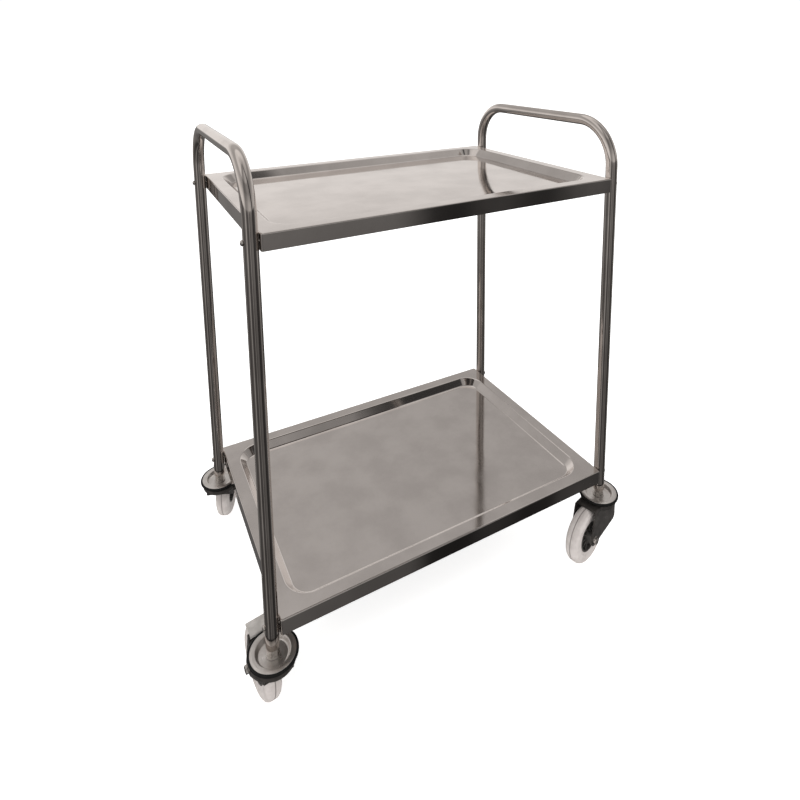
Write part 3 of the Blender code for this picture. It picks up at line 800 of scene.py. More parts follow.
@dataclass
class TrayFasteners:
    """The domed bolts through the legs and the nuts inside the trays' flanges."""

    head_radius: float = 5.0 * MM
    head_height: float = 4.0 * MM
    socket_across: float = 4.0 * MM
    socket_depth: float = 1.8 * MM
    shank_radius: float = 3.0 * MM
    nut_across: float = 10.0 * MM
    nut_height: float = 5.0 * MM
    steps: int = 32

    @staticmethod
    def scatter_group() -> bpy.types.NodeTree:
        """Return the node group that sets a fastener on every point, turned as the point says."""
        name = "set_fasteners"
        if name in bpy.data.node_groups:
            return bpy.data.node_groups[name]
        tree = new_group(name, (("Fastener", "NodeSocketObject", None), ("Size", "NodeSocketFloat", 1.0),
                                ("Material", "NodeSocketMaterial", None)))
        given = add_node(tree, "NodeGroupInput")
        source = add_node(tree, "GeometryNodeObjectInfo", {"Object": given.outputs["Fastener"]})
        turn = add_node(tree, "GeometryNodeInputNamedAttribute", {"Name": "turn"}, data_type="FLOAT_VECTOR")
        placed = add_node(tree, "GeometryNodeInstanceOnPoints",
                          {"Points": given.outputs["Geometry"], "Instance": source.outputs["Geometry"],
                           "Rotation": turn.outputs["Attribute"], "Scale": given.outputs["Size"]})
        end_group(tree, given, placed.outputs["Instances"])
        return tree

    def bolt(self, length: float) -> bpy.types.Mesh:
        """Return a bolt along +Z with its head's seat at z = 0 and a hexagonal socket.

        Args:
            length: How far the shank reaches below the seat.

        Returns:
            The bolt's mesh.
        """
        dome = [(self.head_radius * math.sin(a), self.head_height * (0.22 + 0.78 * math.cos(a)))
                for a in (math.pi / 2 * i / 10 for i in range(11))]
        profile = dome + [(self.head_radius, 0.0), (self.shank_radius, 0.0),
                          (self.shank_radius, 0.6 * MM - length), (self.shank_radius - 0.6 * MM, -length),
                          (0.0, -length)]
        body = turned("tray_bolt", profile, self.steps)
        hexagon = rounded_box("tray_bolt_socket", six_sided(self.socket_across),
                              self.head_height - self.socket_depth, 2 * self.head_height, 0.0)
        return carved("tray_bolt", body, [("DIFFERENCE", hexagon)])

    def place(self, piece: str, fastener: bpy.types.Mesh, points: Sequence[tuple[Vector, float]],
              nodes: Sequence[str]) -> None:
        """Set a fastener at every point and show them as one piece.

        Args:
            piece: The piece's name.
            fastener: One fastener along Z.
            points: Each seat, and the side, -1 or 1, that its +Z end points to along X.
            nodes: The CAD nodes that the piece replaces.
        """
        fastener.shade_smooth()
        fastener.set_sharp_from_angle(angle=SHARP_ANGLE)
        source = work_object(f"{piece}_source", fastener)
        seats = bpy.data.meshes.new(piece)
        seats.from_pydata([point for point, _ in points], [], [])
        turn = seats.attributes.new("turn", "FLOAT_VECTOR", "POINT")
        for item, (_, side) in zip(turn.data, points):
            item.vector = (0.0, side * math.pi / 2, 0.0)
        obj = work_object(piece, seats)
        node_modifier(obj, self.scatter_group(), {"Fastener": source, "Size": 1.0,
                                                  "Material": PLATED_STEEL.material()})
        mesh = baked(piece, obj)
        bpy.data.objects.remove(source)
        show(piece, mesh, PLATED_STEEL, "root", nodes)

    def dress(self) -> None:
        """Put a bolt and a nut at each place that the frame gives them."""
        bolts, nuts, seats, backs = [], [], [], []
        for level in ("lower", "upper"):
            for corner in CORNERS:
                bolts.append(f"tray_bolt_{level}_{corner}")
                nuts.append(f"tray_nut_{level}_{corner}")
                low, high = box_of(bolts[-1])
                side = 1.0 if low.x + high.x > 0.0 else -1.0
                middle = (low + high) / 2
                tip = high.x if side > 0.0 else low.x
                seats.append((Vector((tip - side * self.head_height, middle.y, middle.z)), side))
                length = high.x - low.x - self.head_height
                low, high = box_of(nuts[-1])
                backs.append((Vector((high.x if side > 0.0 else low.x, middle.y, middle.z)), -side))
        self.place("tray_bolts", self.bolt(length), seats, bolts)
        nut = hexagon_nut("tray_nut", self.nut_across, self.nut_height, self.shank_radius)
        self.place("tray_nuts", nut, backs, nuts)


def hexagon_nut(name: str, across: float, height: float, bore: float) -> bpy.types.Mesh:
    """Return a nut on Z from z = 0, its corners chamfered at both ends.

    Args:
        name: The mesh's name.
        across: Width across flats.
        height: The nut's height.
        bore: Radius of the bolt that it takes.

    Returns:
        The mesh.
    """
    body = rounded_box(name, six_sided(across), 0.0, height, 0.5 * MM)
    drill = rounded_box(f"{name}_bore", polygon(24, bore + 0.1 * MM), -height, 2 * height, 0.0)
    return carved(name, body, [("DIFFERENCE", drill)])


# ---------------------------------------------------------------- castors


@dataclass(frozen=True)
class CastorPlace:
    """Where the frame has a castor: its axis on the floor, and the turn that its wheel trails to."""

    corner: str
    axis: Vector
    wheel: Vector

    @classmethod
    def of(cls, corner: str) -> CastorPlace:
        """Read a corner's castor from the frame."""
        axis = box_centre(f"castor_stem_{corner}")
        return cls(corner, Vector((axis.x, axis.y, 0.0)), box_centre(f"tyre_{corner}"))

    @property
    def braked(self) -> bool:
        """Whether the castor has a brake."""
        return self.corner in BRAKED

    @property
    def post(self) -> Matrix:
        """The transform of what doesn't swivel."""
        return Matrix.Translation(self.axis)

    @property
    def swivel(self) -> Matrix:
        """The transform of what swivels: local +X is the way that the wheel trails."""
        trail = self.wheel - self.axis
        return Matrix.Translation(self.axis) @ Matrix.Rotation(math.atan2(trail.y, trail.x), 4, "Z")

    @property
    def trail(self) -> float:
        """How far the wheel's axle lies behind the swivel axis."""
        return (self.wheel - self.axis).xy.length


@dataclass
class CastorTop:
    """What doesn't swivel: the stem with its collar, the pressed disc and the rubber ring."""

    place: CastorPlace
    disc_radius: float = 42.0 * MM
    disc_sheet: float = 2.0 * MM
    disc_middle: float = 27.0 * MM
    disc_skirt: float = 6.0 * MM
    collar_across: float = 19.0 * MM
    collar_height: float = 17.0 * MM
    stem_radius: float = 6.0 * MM
    ring_thickness: float = 3.5 * MM
    rivet_radius: float = 9.0 * MM
    rivet_height: float = 5.0 * MM
    washer_radius: float = 13.0 * MM
    washer_sheet: float = 1.4 * MM
    steps: int = 96
    disc_step: float = 4.0 * MM  # width of the slope between the middle and the border
    ring_round: float = 2.4 * MM
    ring_ease: float = 0.5 * MM

    def disc(self) -> bpy.types.Mesh:
        """Return the disc: a sunk middle, a raised border and a turned-down skirt."""
        low, high = box_of(f"bumper_disc_{self.place.corner}")
        top, middle = high.z, low.z + self.disc_sheet
        hole = self.stem_radius + PLAY
        border = self.disc_middle + self.disc_step
        inner = self.disc_radius - self.disc_sheet
        under = top - self.disc_sheet
        profile = filleted([
            (hole, middle, 0.3 * MM), (self.disc_middle, middle, 3.0 * MM), (border, top - 0.4 * MM, 2.5 * MM),
            ((border + self.disc_radius) / 2, top, 12.0 * MM), (self.disc_radius, top - 0.5 * MM, 2.0 * MM),
            (self.disc_radius, top - self.disc_skirt, 0.4 * MM), (inner, top - self.disc_skirt, 0.4 * MM),
            (inner, under, 0.5 * MM), (border + self.disc_sheet, under, 1.0 * MM),
            (self.disc_middle + self.disc_sheet, low.z, 1.0 * MM), (hole, low.z, 0.3 * MM)], 6, closed=True)
        return turned("bumper_disc", profile, self.steps)

    def ring(self) -> bpy.types.Mesh:
        """Return the rubber ring, rounded outside."""
        low, high = box_of(f"bumper_ring_{self.place.corner}")
        outer = (high.x - low.x) / 2
        inner = outer - self.ring_thickness
        profile = filleted([(inner, high.z, self.ring_ease), (outer, high.z, self.ring_round),
                            (outer, low.z, self.ring_round), (inner, low.z, self.ring_ease)], 6, closed=True)
        return turned("bumper_ring", profile, self.steps)

    def stem(self) -> bpy.types.Mesh:
        """Return the stem with its collar, its washer and its riveted end."""
        low, high = box_of(f"castor_stem_{self.place.corner}")
        base = box_low(f"bumper_disc_{self.place.corner}") + self.disc_sheet + PLAY
        head, rivet = self.rivet_radius, low.z + self.rivet_height
        rim, upper = self.washer_radius, base + self.washer_sheet
        profile = filleted([(0.0, high.z, 0.0), (self.stem_radius, high.z, 1.0 * MM),
                            (self.stem_radius, rivet, 0.0), (head, rivet, 0.4 * MM),
                            (head, low.z, 2.5 * MM), (0.0, low.z, 0.0)], 5)
        collar = rounded_box("collar", six_sided(self.collar_across), base,
                             base + self.collar_height, 0.7 * MM, 3)
        washer = turned("washer", filleted([
            (self.stem_radius, base, 0.0), (rim, base, 0.4 * MM), (rim, upper, 0.5 * MM),
            (self.stem_radius, upper, 0.0)], 4, closed=True), 48)
        return joined("castor_stem", [turned("stem", profile, 32), collar, washer])

    def dress(self) -> None:
        """Build the pieces and give them their finishes."""
        corner = self.place.corner
        for name, mesh, finish in (("bumper_disc", self.disc(), DISC_STEEL),
                                   ("bumper_ring", self.ring(), BUMPER_RUBBER),
                                   ("castor_stem", self.stem(), PLATED_STEEL)):
            node = f"{name}_{corner}"
            mesh.transform(self.place.post)
            show(f"{node}_turned", flat_weighted(mesh), finish, "root", [node])


def box_low(node: str) -> float:
    """Return the height of a CAD node's lowest point."""
    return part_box(node)[0][2]


@dataclass
class Fork:
    """The pressed fork: a channel over the wheel under a round swivel housing, with a closed front."""

    place: CastorPlace
    top: float
    wheel_radius: float = WHEEL_RADIUS
    width: float = 54.0 * MM
    sheet: float = 2.5 * MM
    lead: float = 33.0 * MM
    tail: float = 57.0 * MM
    apron: float = 22.0 * MM
    front_drop: float = 64.0 * MM
    braked_lead: float = 28.0 * MM
    braked_drop: float = 24.0 * MM
    corner: float = 12.0 * MM
    shoulder: float = 6.0 * MM
    axle_end: float = 14.0 * MM
    housing_radius: float = 40.0 * MM
    housing_height: float = 10.0 * MM
    edge: float = 0.7 * MM
    pin: Point2 = PIN_PLACE
    barrel: float = PIN_BARREL
    pivot_radius: float = 6.5 * MM

    def outline(self) -> list[Point2]:
        """Return the side outline in X and Z."""
        axle = Vector((self.place.trail, self.wheel_radius))
        low = self.top - self.front_drop
        start = Vector((self.corner - self.lead, low))
        slant = axle - start
        lower = math.atan2(slant.y, slant.x) - math.asin(self.axle_end / slant.length)
        back = axle - Vector((self.tail, self.top))
        upper = math.atan2(back.y, back.x) + math.asin(self.axle_end / back.length)
        points = [(-self.lead, self.top)]
        points += arc((self.corner - self.lead, low + self.corner), self.corner, math.pi, math.pi * 1.5 + lower, 8)
        points += arc(tuple(axle), self.axle_end, lower - math.pi / 2, upper + math.pi / 2, 16)
        return points + [(self.tail, self.top)]

    def channel(self) -> bpy.types.Mesh:
        """Return the fork's solid outside, its shoulders folded round and its edges eased."""
        solid = rounded_box("channel", self.outline(), -self.width / 2, self.width / 2, 0.0)
        solid.transform(UPRIGHT)

        def fold(bm: bmesh.types.BMesh) -> None:
            shoulders = [e for e in bm.edges if all(
                v.co.z > self.top - 0.1 * MM and abs(v.co.y) > self.width / 2 - 0.1 * MM for v in e.verts)]
            bmesh.ops.bevel(bm, geom=shoulders, affect="EDGES", offset=self.shoulder, segments=6, profile=0.5)
            rims = [e for e in bm.edges if e.calc_face_angle(0.0) > math.radians(50.0)]
            bmesh.ops.bevel(bm, geom=rims, affect="EDGES", offset=self.edge, segments=2, profile=0.5)

        return edit_mesh(solid, fold)

    def build(self) -> bpy.types.Mesh:
        """Return the fork's mesh about its swivel axis."""
        inside = self.width / 2 - self.sheet
        reach = 2 * self.wheel_radius
        housing = turned("housing", filleted([
            (0.0, self.top, 0.0), (self.housing_radius, self.top, 3.0 * MM),
            (self.housing_radius, self.top - self.housing_height, 2.0 * MM),
            (0.0, self.top - self.housing_height, 0.0)], 5), 64)
        tools = [("UNION", housing)]
        if self.place.braked:
            pin_x, pin_z = self.pin
            foot = self.top - 2 * self.sheet
            ear = [(pin_x + self.barrel, foot)] + arc(self.pin, self.barrel, 0.0, math.pi, 12)
            ear += [(pin_x - self.barrel, foot)]
            ears = rounded_box("ears", ear, -self.width / 2, self.width / 2, 0.5 * MM)
            ears.transform(UPRIGHT)
            gap = block((0.0, -inside, self.top), (reach, inside, 2 * reach))
            tools += [("UNION", ears), ("DIFFERENCE", gap)]
        tools += [
            ("DIFFERENCE", block((self.sheet - self.lead, -inside, 0.0), (reach, inside, self.top - self.sheet))),
            ("DIFFERENCE", block((-reach, -inside, 0.0), (0.0, inside, self.top - self.apron)))]
        pivot = rounded_box("pivot", polygon(32, self.pivot_radius), 0.0, 2 * reach, 0.0)
        return carved("castor_fork", self.channel(), tools + [("DIFFERENCE", pivot)])

    def dress(self) -> None:
        """Build the fork and give it its coat; the braked forks have slimmer, slanting legs."""
        if self.place.braked:
            self.lead, self.front_drop = self.braked_lead, self.braked_drop
        node = f"castor_fork_{self.place.corner}"
        mesh = self.build()
        mesh.transform(self.place.swivel)
        show(f"{node}_pressing", flat_weighted(mesh), FORK_COAT, f"swivel_{self.place.corner}", [node])


def arc(centre: Point2, radius: float, start: float, end: float, steps: int) -> list[Point2]:
    """Return points on an arc, both ends included, angles in radians."""
    angles = (start + (end - start) * i / steps for i in range(steps + 1))
    return [(centre[0] + radius * math.cos(a), centre[1] + radius * math.sin(a)) for a in angles]


def block(low: Point3, high: Point3) -> bpy.types.Mesh:
    """Return a plain box between two corners, to cut with."""
    outline = [(low[0], low[1]), (high[0], low[1]), (high[0], high[1]), (low[0], high[1])]
    return rounded_box("block", outline, low[2], high[2], 0.0)


@dataclass
class Wheel:
    """The tyre, moulded on a ribbed nylon hub."""

    place: CastorPlace
    radius: float = WHEEL_RADIUS
    width: float = 32.0 * MM
    hub_radius: float = 34.0 * MM
    boss_radius: float = 11.0 * MM
    bore: float = 5.3 * MM
    boss_half: float = 24.0 * MM
    web_half: float = 4.0 * MM
    ribs: int = 10
    rib_width: float = 2.4 * MM
    rib_set_back: float = 3.0 * MM  # from the rim's edge
    rim_set_back: float = 2.0 * MM  # from the tyre's side
    rim_thickness: float = 4.0 * MM
    groove_depth: float = 0.5 * MM
    groove_mouth: float = 1.4 * MM  # half the groove's width outside
    groove_foot: float = 0.5 * MM  # half its width at the bottom

    def tyre(self) -> bpy.types.Mesh:
        """Return the tyre about Z: wide sidewalls, round shoulders and a groove at the parting line."""
        half = self.width / 2
        inner = self.hub_radius + PLAY
        crown = self.radius - 0.4 * MM
        side = [(inner, half - 2.6 * MM, 0.5 * MM), (self.hub_radius + 4.0 * MM, half - 2.2 * MM, 2.0 * MM),
                (self.hub_radius + 8.0 * MM, half - 0.4 * MM, 3.0 * MM), (crown - 9.0 * MM, half, 4.0 * MM),
                (crown - 3.0 * MM, half - 3.6 * MM, 5.0 * MM), (self.radius - 0.2 * MM, half - 9.0 * MM, 6.0 * MM),
                (self.radius, self.groove_mouth, 0.4 * MM),
                (self.radius - self.groove_depth, self.groove_foot, 0.2 * MM)]
        return turned("tyre", filleted(two_sided(side), 4, closed=True), 128)

    @staticmethod
    def rib_group() -> bpy.types.NodeTree:
        """Return the node group that adds radial ribs to a hub."""
        name = "radial_ribs"
        if name in bpy.data.node_groups:
            return bpy.data.node_groups[name]
        tree = new_group(name, (("Count", "NodeSocketInt", 10), ("Inner Radius", "NodeSocketFloat", 0.01),
                                ("Outer Radius", "NodeSocketFloat", 0.03), ("Width", "NodeSocketFloat", 0.002),
                                ("Height", "NodeSocketFloat", 0.02), ("Material", "NodeSocketMaterial", None)))
        given = add_node(tree, "NodeGroupInput")
        inner, outer = given.outputs["Inner Radius"], given.outputs["Outer Radius"]
        span = add_node(tree, "ShaderNodeMath", {0: outer, 1: inner}, operation="SUBTRACT")
        both = add_node(tree, "ShaderNodeMath", {0: outer, 1: inner}, operation="ADD")
        middle = add_node(tree, "ShaderNodeMath", {0: both.outputs[0], 1: 0.5}, operation="MULTIPLY")
        size = add_node(tree, "ShaderNodeCombineXYZ", {"X": span.outputs[0], "Y": given.outputs["Width"],
                                                       "Z": given.outputs["Height"]})
        shift = add_node(tree, "ShaderNodeCombineXYZ", {"X": middle.outputs[0]})
        rib = add_node(tree, "GeometryNodeMeshCube", {"Size": size.outputs["Vector"]})
        out = add_node(tree, "GeometryNodeTransform", {"Geometry": rib.outputs["Mesh"],
                                                       "Translation": shift.outputs["Vector"]})
        points = add_node(tree, "GeometryNodePoints", {"Count": given.outputs["Count"]})
        index = add_node(tree, "GeometryNodeInputIndex")
        share = add_node(tree, "ShaderNodeMath", {0: index.outputs["Index"], 1: given.outputs["Count"]},
                         operation="DIVIDE")
        angle = add_node(tree, "ShaderNodeMath", {0: share.outputs[0], 1: 2 * math.pi}, operation="MULTIPLY")
        turn = add_node(tree, "ShaderNodeCombineXYZ", {"Z": angle.outputs[0]})
        spread = add_node(tree, "GeometryNodeInstanceOnPoints",
                          {"Points": points.outputs[0], "Instance": out.outputs["Geometry"],
                           "Rotation": turn.outputs["Vector"]})
        whole = add_node(tree, "GeometryNodeJoinGeometry", {"Geometry": given.outputs["Geometry"]})
        tree.links.new(spread.outputs["Instances"], whole.inputs["Geometry"])
        end_group(tree, given, whole.outputs["Geometry"])
        return tree

    def hub(self) -> bpy.types.Mesh:
        """Return the hub about Z: a boss to the fork's legs, a web, ribs and a rim."""
        rim_half = self.width / 2 - self.rim_set_back
        rim_inner = self.hub_radius - self.rim_thickness
        side = [(self.bore, self.boss_half, 0.3 * MM), (self.boss_radius, self.boss_half, 0.8 * MM),
                (self.boss_radius + 2.0 * MM, self.web_half, 2.0 * MM), (rim_inner, self.web_half, 2.0 * MM),
                (rim_inner + 0.8 * MM, rim_half, 0.8 * MM), (self.hub_radius, rim_half, 0.6 * MM)]
        obj = work_object("wheel_hub", turned("wheel_hub", filleted(two_sided(side), 4, closed=True), 72))
        node_modifier(obj, self.rib_group(), {
            "Count": self.ribs, "Inner Radius": self.boss_radius, "Outer Radius": rim_inner + 0.6 * MM,
            "Width": self.rib_width, "Height": 2 * (rim_half - self.rib_set_back), "Material": HUB_NYLON.material()})
        return baked("wheel_hub", obj)

    def dress(self) -> None:
        """Build the tyre and the hub and give them their finishes."""
        corner = self.place.corner
        seat = self.place.swivel @ Matrix.Translation((self.place.trail, 0.0, self.radius)) @ ACROSS
        for name, mesh, finish in (("tyre", self.tyre(), TYRE_RUBBER), ("wheel_hub", self.hub(), HUB_NYLON)):
            node = f"{name}_{corner}"
            mesh.transform(seat)
            show(f"{node}_moulding", flat_weighted(mesh), finish, f"wheel_{corner}", [node])


@dataclass
class Axle:
    """The axle bolt with its flanged head, and the flanged nut at its other end."""

    place: CastorPlace
    wheel_radius: float = WHEEL_RADIUS
    fork_half: float = 27.0 * MM
    gap: float = 0.3 * MM
    shank: float = 5.0 * MM
    across: float = 14.0 * MM
    height: float = 6.4 * MM
    flange_radius: float = 9.0 * MM
    flange: float = 1.6 * MM
    stick_out: float = 2.0 * MM

    def head(self, name: str) -> list[bpy.types.Mesh]:
        """Return a flanged hexagon on +Z from z = 0."""
        flange = turned(f"{name}_flange", filleted([
            (0.0, 0.0, 0.0), (self.flange_radius, 0.0, 0.2 * MM), (self.flange_radius, 0.8 * MM, 0.3 * MM),
            (self.flange_radius - 1.5 * MM, self.flange, 0.6 * MM), (0.0, self.flange, 0.0)], 4), 40)
        hexagon = rounded_box(name, six_sided(self.across), self.flange / 2, self.height, 0.9 * MM, 3)
        return [flange, hexagon]

    def dress(self) -> None:
        """Build the bolt and the nut and give them their finish."""
        corner = self.place.corner
        reach = self.fork_half + self.gap
        seat = self.place.swivel @ Matrix.Translation((self.place.trail, 0.0, self.wheel_radius)) @ ACROSS
        length = 2 * reach + self.height + self.stick_out
        rod = turned("shank", filleted([
            (0.0, 1.0 * MM, 0.0), (self.shank, 1.0 * MM, 0.0), (self.shank, -length, 0.8 * MM),
            (0.0, -length, 0.0)], 3), 32)
        bolt = joined("axle_bolt", [*self.head("axle_bolt"), rod])
        bolt.transform(seat @ Matrix.Translation((0.0, 0.0, reach)))
        nut = joined("axle_nut", self.head("axle_nut"))
        nut.transform(seat @ Matrix.Translation((0.0, 0.0, -reach)) @ Matrix.Rotation(math.pi, 4, "X"))
        for name, mesh in (("axle_bolt", bolt), ("axle_nut", nut)):
            node = f"{name}_{corner}"
            show(f"{node}_flanged", flat_weighted(mesh), PLATED_STEEL, f"swivel_{corner}", [node])


@dataclass
class BrakePedal:
    """The brake's lever: a barrel on the pin, a tread plate and a shoe above the tyre."""

    place: CastorPlace
    pin: Point2 = PIN_PLACE
    half: float = 24.2 * MM
    barrel: float = PIN_BARREL
    reach: float = 22.0 * MM
    sheet: float = 2.5 * MM
    rise: float = 3.0 * MM
    shoe_width: float = 26.0 * MM
    bore: float = 2.8 * MM

    def build(self) -> bpy.types.Mesh:
        """Return the lever about its pin."""
        sleeve = turned("barrel", filleted([
            (self.bore, -self.half, 0.2 * MM), (self.barrel, -self.half, 0.5 * MM),
            (self.barrel, self.half, 0.5 * MM), (self.bore, self.half, 0.2 * MM)], 3, closed=True), 32)
        sleeve.transform(ACROSS)
        section = [(0.0, self.barrel), (0.0, self.barrel - self.sheet),
                   (self.reach, self.barrel - self.sheet + self.rise), (self.reach, self.barrel + self.rise)]
        tread = rounded_box("tread", section, -self.half, self.half, 0.6 * MM)
        tread.transform(UPRIGHT)
        low = -1.5 * self.barrel
        outline = [(0.45 * self.reach, low), (0.8 * self.reach, low), (0.8 * self.reach, self.barrel),
                   (0.45 * self.reach, self.barrel)]
        shoe = rounded_box("shoe", outline, -self.shoe_width / 2, self.shoe_width / 2, 0.8 * MM)
        shoe.transform(UPRIGHT)
        return joined("brake_pedal", [sleeve, tread, shoe])

    def dress(self) -> None:
        """Build the lever and give it its finish."""
        corner = self.place.corner
        mesh = self.build()
        mesh.transform(self.place.swivel @ Matrix.Translation((self.pin[0], 0.0, self.pin[1])))
        show(f"brake_pedal_{corner}_pressing", flat_weighted(mesh), PEDAL_STEEL, f"pedal_{corner}",
             [f"brake_pedal_{corner}"])


@dataclass
class Castor:
    """One castor: the parts that stand still, the fork, the wheel, the axle and the brake."""

    corner: str

    def dress(self) -> None:
        """Build every piece of the castor."""
        place = CastorPlace.of(self.corner)
        top = box_low(f"bumper_disc_{self.corner}") - 0.5 * MM
        CastorTop(place).dress()
        Fork(place, top).dress()
        Wheel(place).dress()
        Axle(place).dress()
        if place.braked:
            BrakePedal(place).dress()


# ---------------------------------------------------------------- pieces kept from the frame


@dataclass(frozen=True)
class KeptNodes:
    """The plain pieces that the frame already has right: plugs inside the legs, and brake pins."""

    prefixes: tuple[str, ...] = ("tube_insert_", "brake_pin_")

    def dress(self) -> None:
        """Give each kept node the fasteners' finish."""
        for name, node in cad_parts.items():
            if name.startswith(self.prefixes):
                material = PLATED_STEEL.material()
                if node.material_slots:
                    for slot in node.material_slots:
                        slot.material = material
                else:
                    node.data.materials.append(material)


# ---------------------------------------------------------------- studio


@dataclass
class Studio:
    """A pale floor, a soft white surround and the room that the steel mirrors."""

    floor_half: float = 60.0
    floor_colour: str = "#F4F3F2"
    floor_shade: str = "#F1F0EF"
    floor_glow: float = 0.7
    room_tint: str = "#FFFBF8"
    room_light: float = 2.0  # what the steel mirrors
    plain_light: float = 0.82  # what lights matt surfaces
    backdrop: float = 1.05  # what the camera sees

    def floor(self) -> None:
        """Lay the floor."""
        edge = self.floor_half
        mesh = bpy.data.meshes.new("floor")
        mesh.from_pydata([(-edge, -edge, 0.0), (edge, -edge, 0.0), (edge, edge, 0.0), (-edge, edge, 0.0)],
                         [], [(0, 1, 2, 3)])
        material = bpy.data.materials.new("pale_painted_floor")
        material.use_nodes = True
        tree = material.node_tree
        tree.nodes.clear()
        place = add_node(tree, "ShaderNodeTexCoord").outputs["Object"]
        mottle = add_node(tree, "ShaderNodeTexNoise", {"Vector": place, "Scale": 3.0})
        colour = blended(tree, mottle.outputs["Fac"], linear(self.floor_colour), linear(self.floor_shade))
        shader = add_node(tree, "ShaderNodeBsdfPrincipled",
                          {"Base Color": colour, "Roughness": 0.9, "Specular IOR Level": 0.1,
                           "Emission Color": (1.0, 1.0, 1.0, 1.0), "Emission Strength": self.floor_glow})
        add_node(tree, "ShaderNodeOutputMaterial", {"Surface": shader.outputs["BSDF"]})
        mesh.materials.append(material)
        floor = bpy.data.objects.new("floor", mesh)
        bpy.context.scene.collection.objects.link(floor)
        floor.visible_glossy = False

    def room(self) -> None:
        """Light the scene: white all round for matt surfaces, and a grey room for the steel to mirror."""
        world = bpy.data.worlds.new("studio")
        world.use_nodes = True
        bpy.context.scene.world = world
        tree = world.node_tree
        tree.nodes.clear()
        way = add_node(tree, "ShaderNodeTexCoord").outputs["Generated"]
        parts = add_node(tree, "ShaderNodeSeparateXYZ", {"Vector": way})
        height = add_node(tree, "ShaderNodeMapRange", {"Value": parts.outputs["Z"], "From Min": -1.0,
                                                       "From Max": 1.0}).outputs["Result"]
        compass = add_node(tree, "ShaderNodeMath", {0: parts.outputs["X"], 1: parts.outputs["Y"]},
                           operation="ARCTAN2")
        bearing = add_node(tree, "ShaderNodeMapRange", {"Value": compass.outputs[0], "From Min": -math.pi,
                                                        "From Max": math.pi}).outputs["Result"]
        above, below = (blended(tree, 1.0, ramp_of(tree, height, levels), ramp_of(tree, bearing, bearings), "MULTIPLY")
                        for levels, bearings in ((UPPER_LEVELS, UPPER_BEARINGS), (LOWER_LEVELS, LOWER_BEARINGS)))
        up = add_node(tree, "ShaderNodeMapRange", {"Value": parts.outputs["Z"], "From Min": -0.03,
                                                   "From Max": 0.03}).outputs["Result"]
        warm = blended(tree, 1.0, blended(tree, up, below, above), linear(self.room_tint), "MULTIPLY")
        path = add_node(tree, "ShaderNodeLightPath")
        mirrored, plain, white = (
            add_node(tree, "ShaderNodeBackground", {"Color": colour, "Strength": strength}).outputs[0]
            for colour, strength in ((warm, self.room_light), ((1.0, 1.0, 1.0, 1.0), self.plain_light),
                                     ((1.0, 1.0, 1.0, 1.0), self.backdrop)))
        seen = add_node(tree, "ShaderNodeMixShader", {0: path.outputs["Is Camera Ray"], 1: plain, 2: white})
        mixed = add_node(tree, "ShaderNodeMixShader",
                         {0: path.outputs["Is Glossy Ray"], 1: seen.outputs[0], 2: mirrored})
        add_node(tree, "ShaderNodeOutputWorld", {"Surface": mixed.outputs[0]})

    def lamp(self, name: str, place: Vector, target: Vector, size: float, power: float) -> None:
        """Hang a soft square lamp.

        Args:
            name: The lamp's name.
            place: Where it hangs.
            target: What it points at.
            size: Its side.
            power: Its power in watts.
        """
        data = bpy.data.lights.new(name, "AREA")
        data.size = size
        data.energy = power
        lamp = bpy.data.objects.new(name, data)
        lamp.location = place
        lamp.rotation_euler = (target - place).to_track_quat("-Z", "Y").to_euler()
        lamp.visible_glossy = False
        bpy.context.scene.collection.objects.link(lamp)

    def dress(self) -> None:
        """Set up the floor, the surround and the lamps."""
        self.floor()
        self.room()
        middle = Vector((0.0, 0.0, 0.5))
        self.lamp("key", Vector((-1.6, -1.2, 2.6)), middle, 1.2, 28.0)
        self.lamp("fill", Vector((2.2, -0.6, 2.2)), middle, 1.4, 12.0)


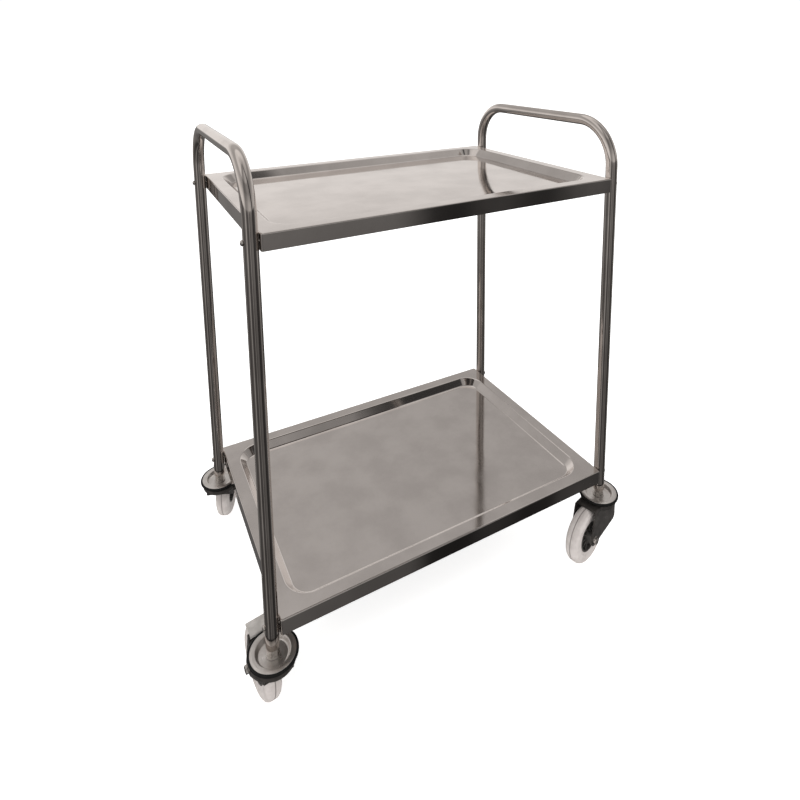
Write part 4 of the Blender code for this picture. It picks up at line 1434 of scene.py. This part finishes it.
# Grey levels of the mirrored room: by height, 0 straight down, 0.5 level and 1 straight up, and by bearing,
# 0 and 1 at the front, 0.25 left, 0.5 behind and 0.75 right.
UPPER_LEVELS = ((0.5, 0.46), (0.6, 0.44), (0.68, 0.34), (0.76, 0.24), (0.86, 0.24), (0.9, 0.42), (0.96, 0.42),
                (1.0, 0.3))
UPPER_BEARINGS = ((0.0, 0.6), (0.08, 0.4), (0.12, 0.3), (0.22, 0.9), (0.4, 0.9), (0.5, 1.0), (0.62, 0.9),
                  (0.72, 0.7), (0.8, 0.6), (0.872, 0.45), (0.885, 0.08), (0.915, 0.08), (0.925, 0.5), (1.0, 0.6))
LOWER_LEVELS = ((0.0, 0.2), (0.25, 0.3), (0.42, 0.5), (0.5, 0.6))
LOWER_BEARINGS = ((0.0, 0.18), (0.03, 0.1), (0.05, 0.34), (0.08, 0.1), (0.14, 0.1), (0.18, 0.5), (0.22, 0.16),
                  (0.3, 0.1), (0.4, 0.3), (0.46, 0.2), (0.56, 0.2), (0.62, 0.2), (0.7, 0.08), (0.78, 0.4),
                  (0.82, 0.08), (0.86, 0.05), (0.875, 0.1), (0.885, 0.02), (0.9, 0.06), (0.908, 0.02),
                  (0.918, 0.03), (0.923, 0.16), (0.97, 0.2), (1.0, 0.18))


@dataclass(frozen=True)
class Viewpoint:
    """The camera: where it stands, how it is turned, and how its picture is framed."""

    place: Point3 = (-0.5913, -1.1885, 1.1900)
    pitch: float = math.radians(8.75)  # how far it looks down
    bearing: float = math.radians(28.09)  # how far it looks to the right of straight back
    roll: float = math.radians(0.68)
    lens: float = 26.6
    sensor: float = 36.0
    shift: Point2 = (-0.0129, -0.3262)

    def dress(self) -> None:
        """Make the camera and use it."""
        ahead = Vector((math.sin(self.bearing) * math.cos(self.pitch),
                        math.cos(self.bearing) * math.cos(self.pitch), -math.sin(self.pitch)))
        level = Vector((math.cos(self.bearing), -math.sin(self.bearing), 0.0))
        down = ahead.cross(level)
        right = level * math.cos(self.roll) + down * math.sin(self.roll)
        up = level * math.sin(self.roll) - down * math.cos(self.roll)
        data = bpy.data.cameras.new("camera")
        data.lens = self.lens
        data.sensor_width = self.sensor
        data.shift_x, data.shift_y = self.shift
        data.clip_start, data.clip_end = 0.01, 500.0
        camera = bpy.data.objects.new("camera", data)
        turn = Matrix((right, up, -ahead)).transposed()
        camera.matrix_world = Matrix.Translation(self.place) @ turn.to_4x4()
        bpy.context.scene.collection.objects.link(camera)
        bpy.context.scene.camera = camera


def main() -> None:
    """Build the cart round the frame, then the studio."""
    logging.basicConfig(level=logging.INFO, format="%(name)s: %(message)s")
    bpy.context.scene.view_settings.view_transform = "Standard"
    Viewpoint().dress()
    parts = [Tray("tray_lower"), Tray("tray_upper"), EndFrame("end_frame_left"), EndFrame("end_frame_right"),
             TrayFasteners(), *(Castor(corner) for corner in CORNERS), KeptNodes()]
    for part in parts:
        part.dress()
        LOG.info("%s done", part)
    Studio().dress()


if __name__ == "__main__":
    main()
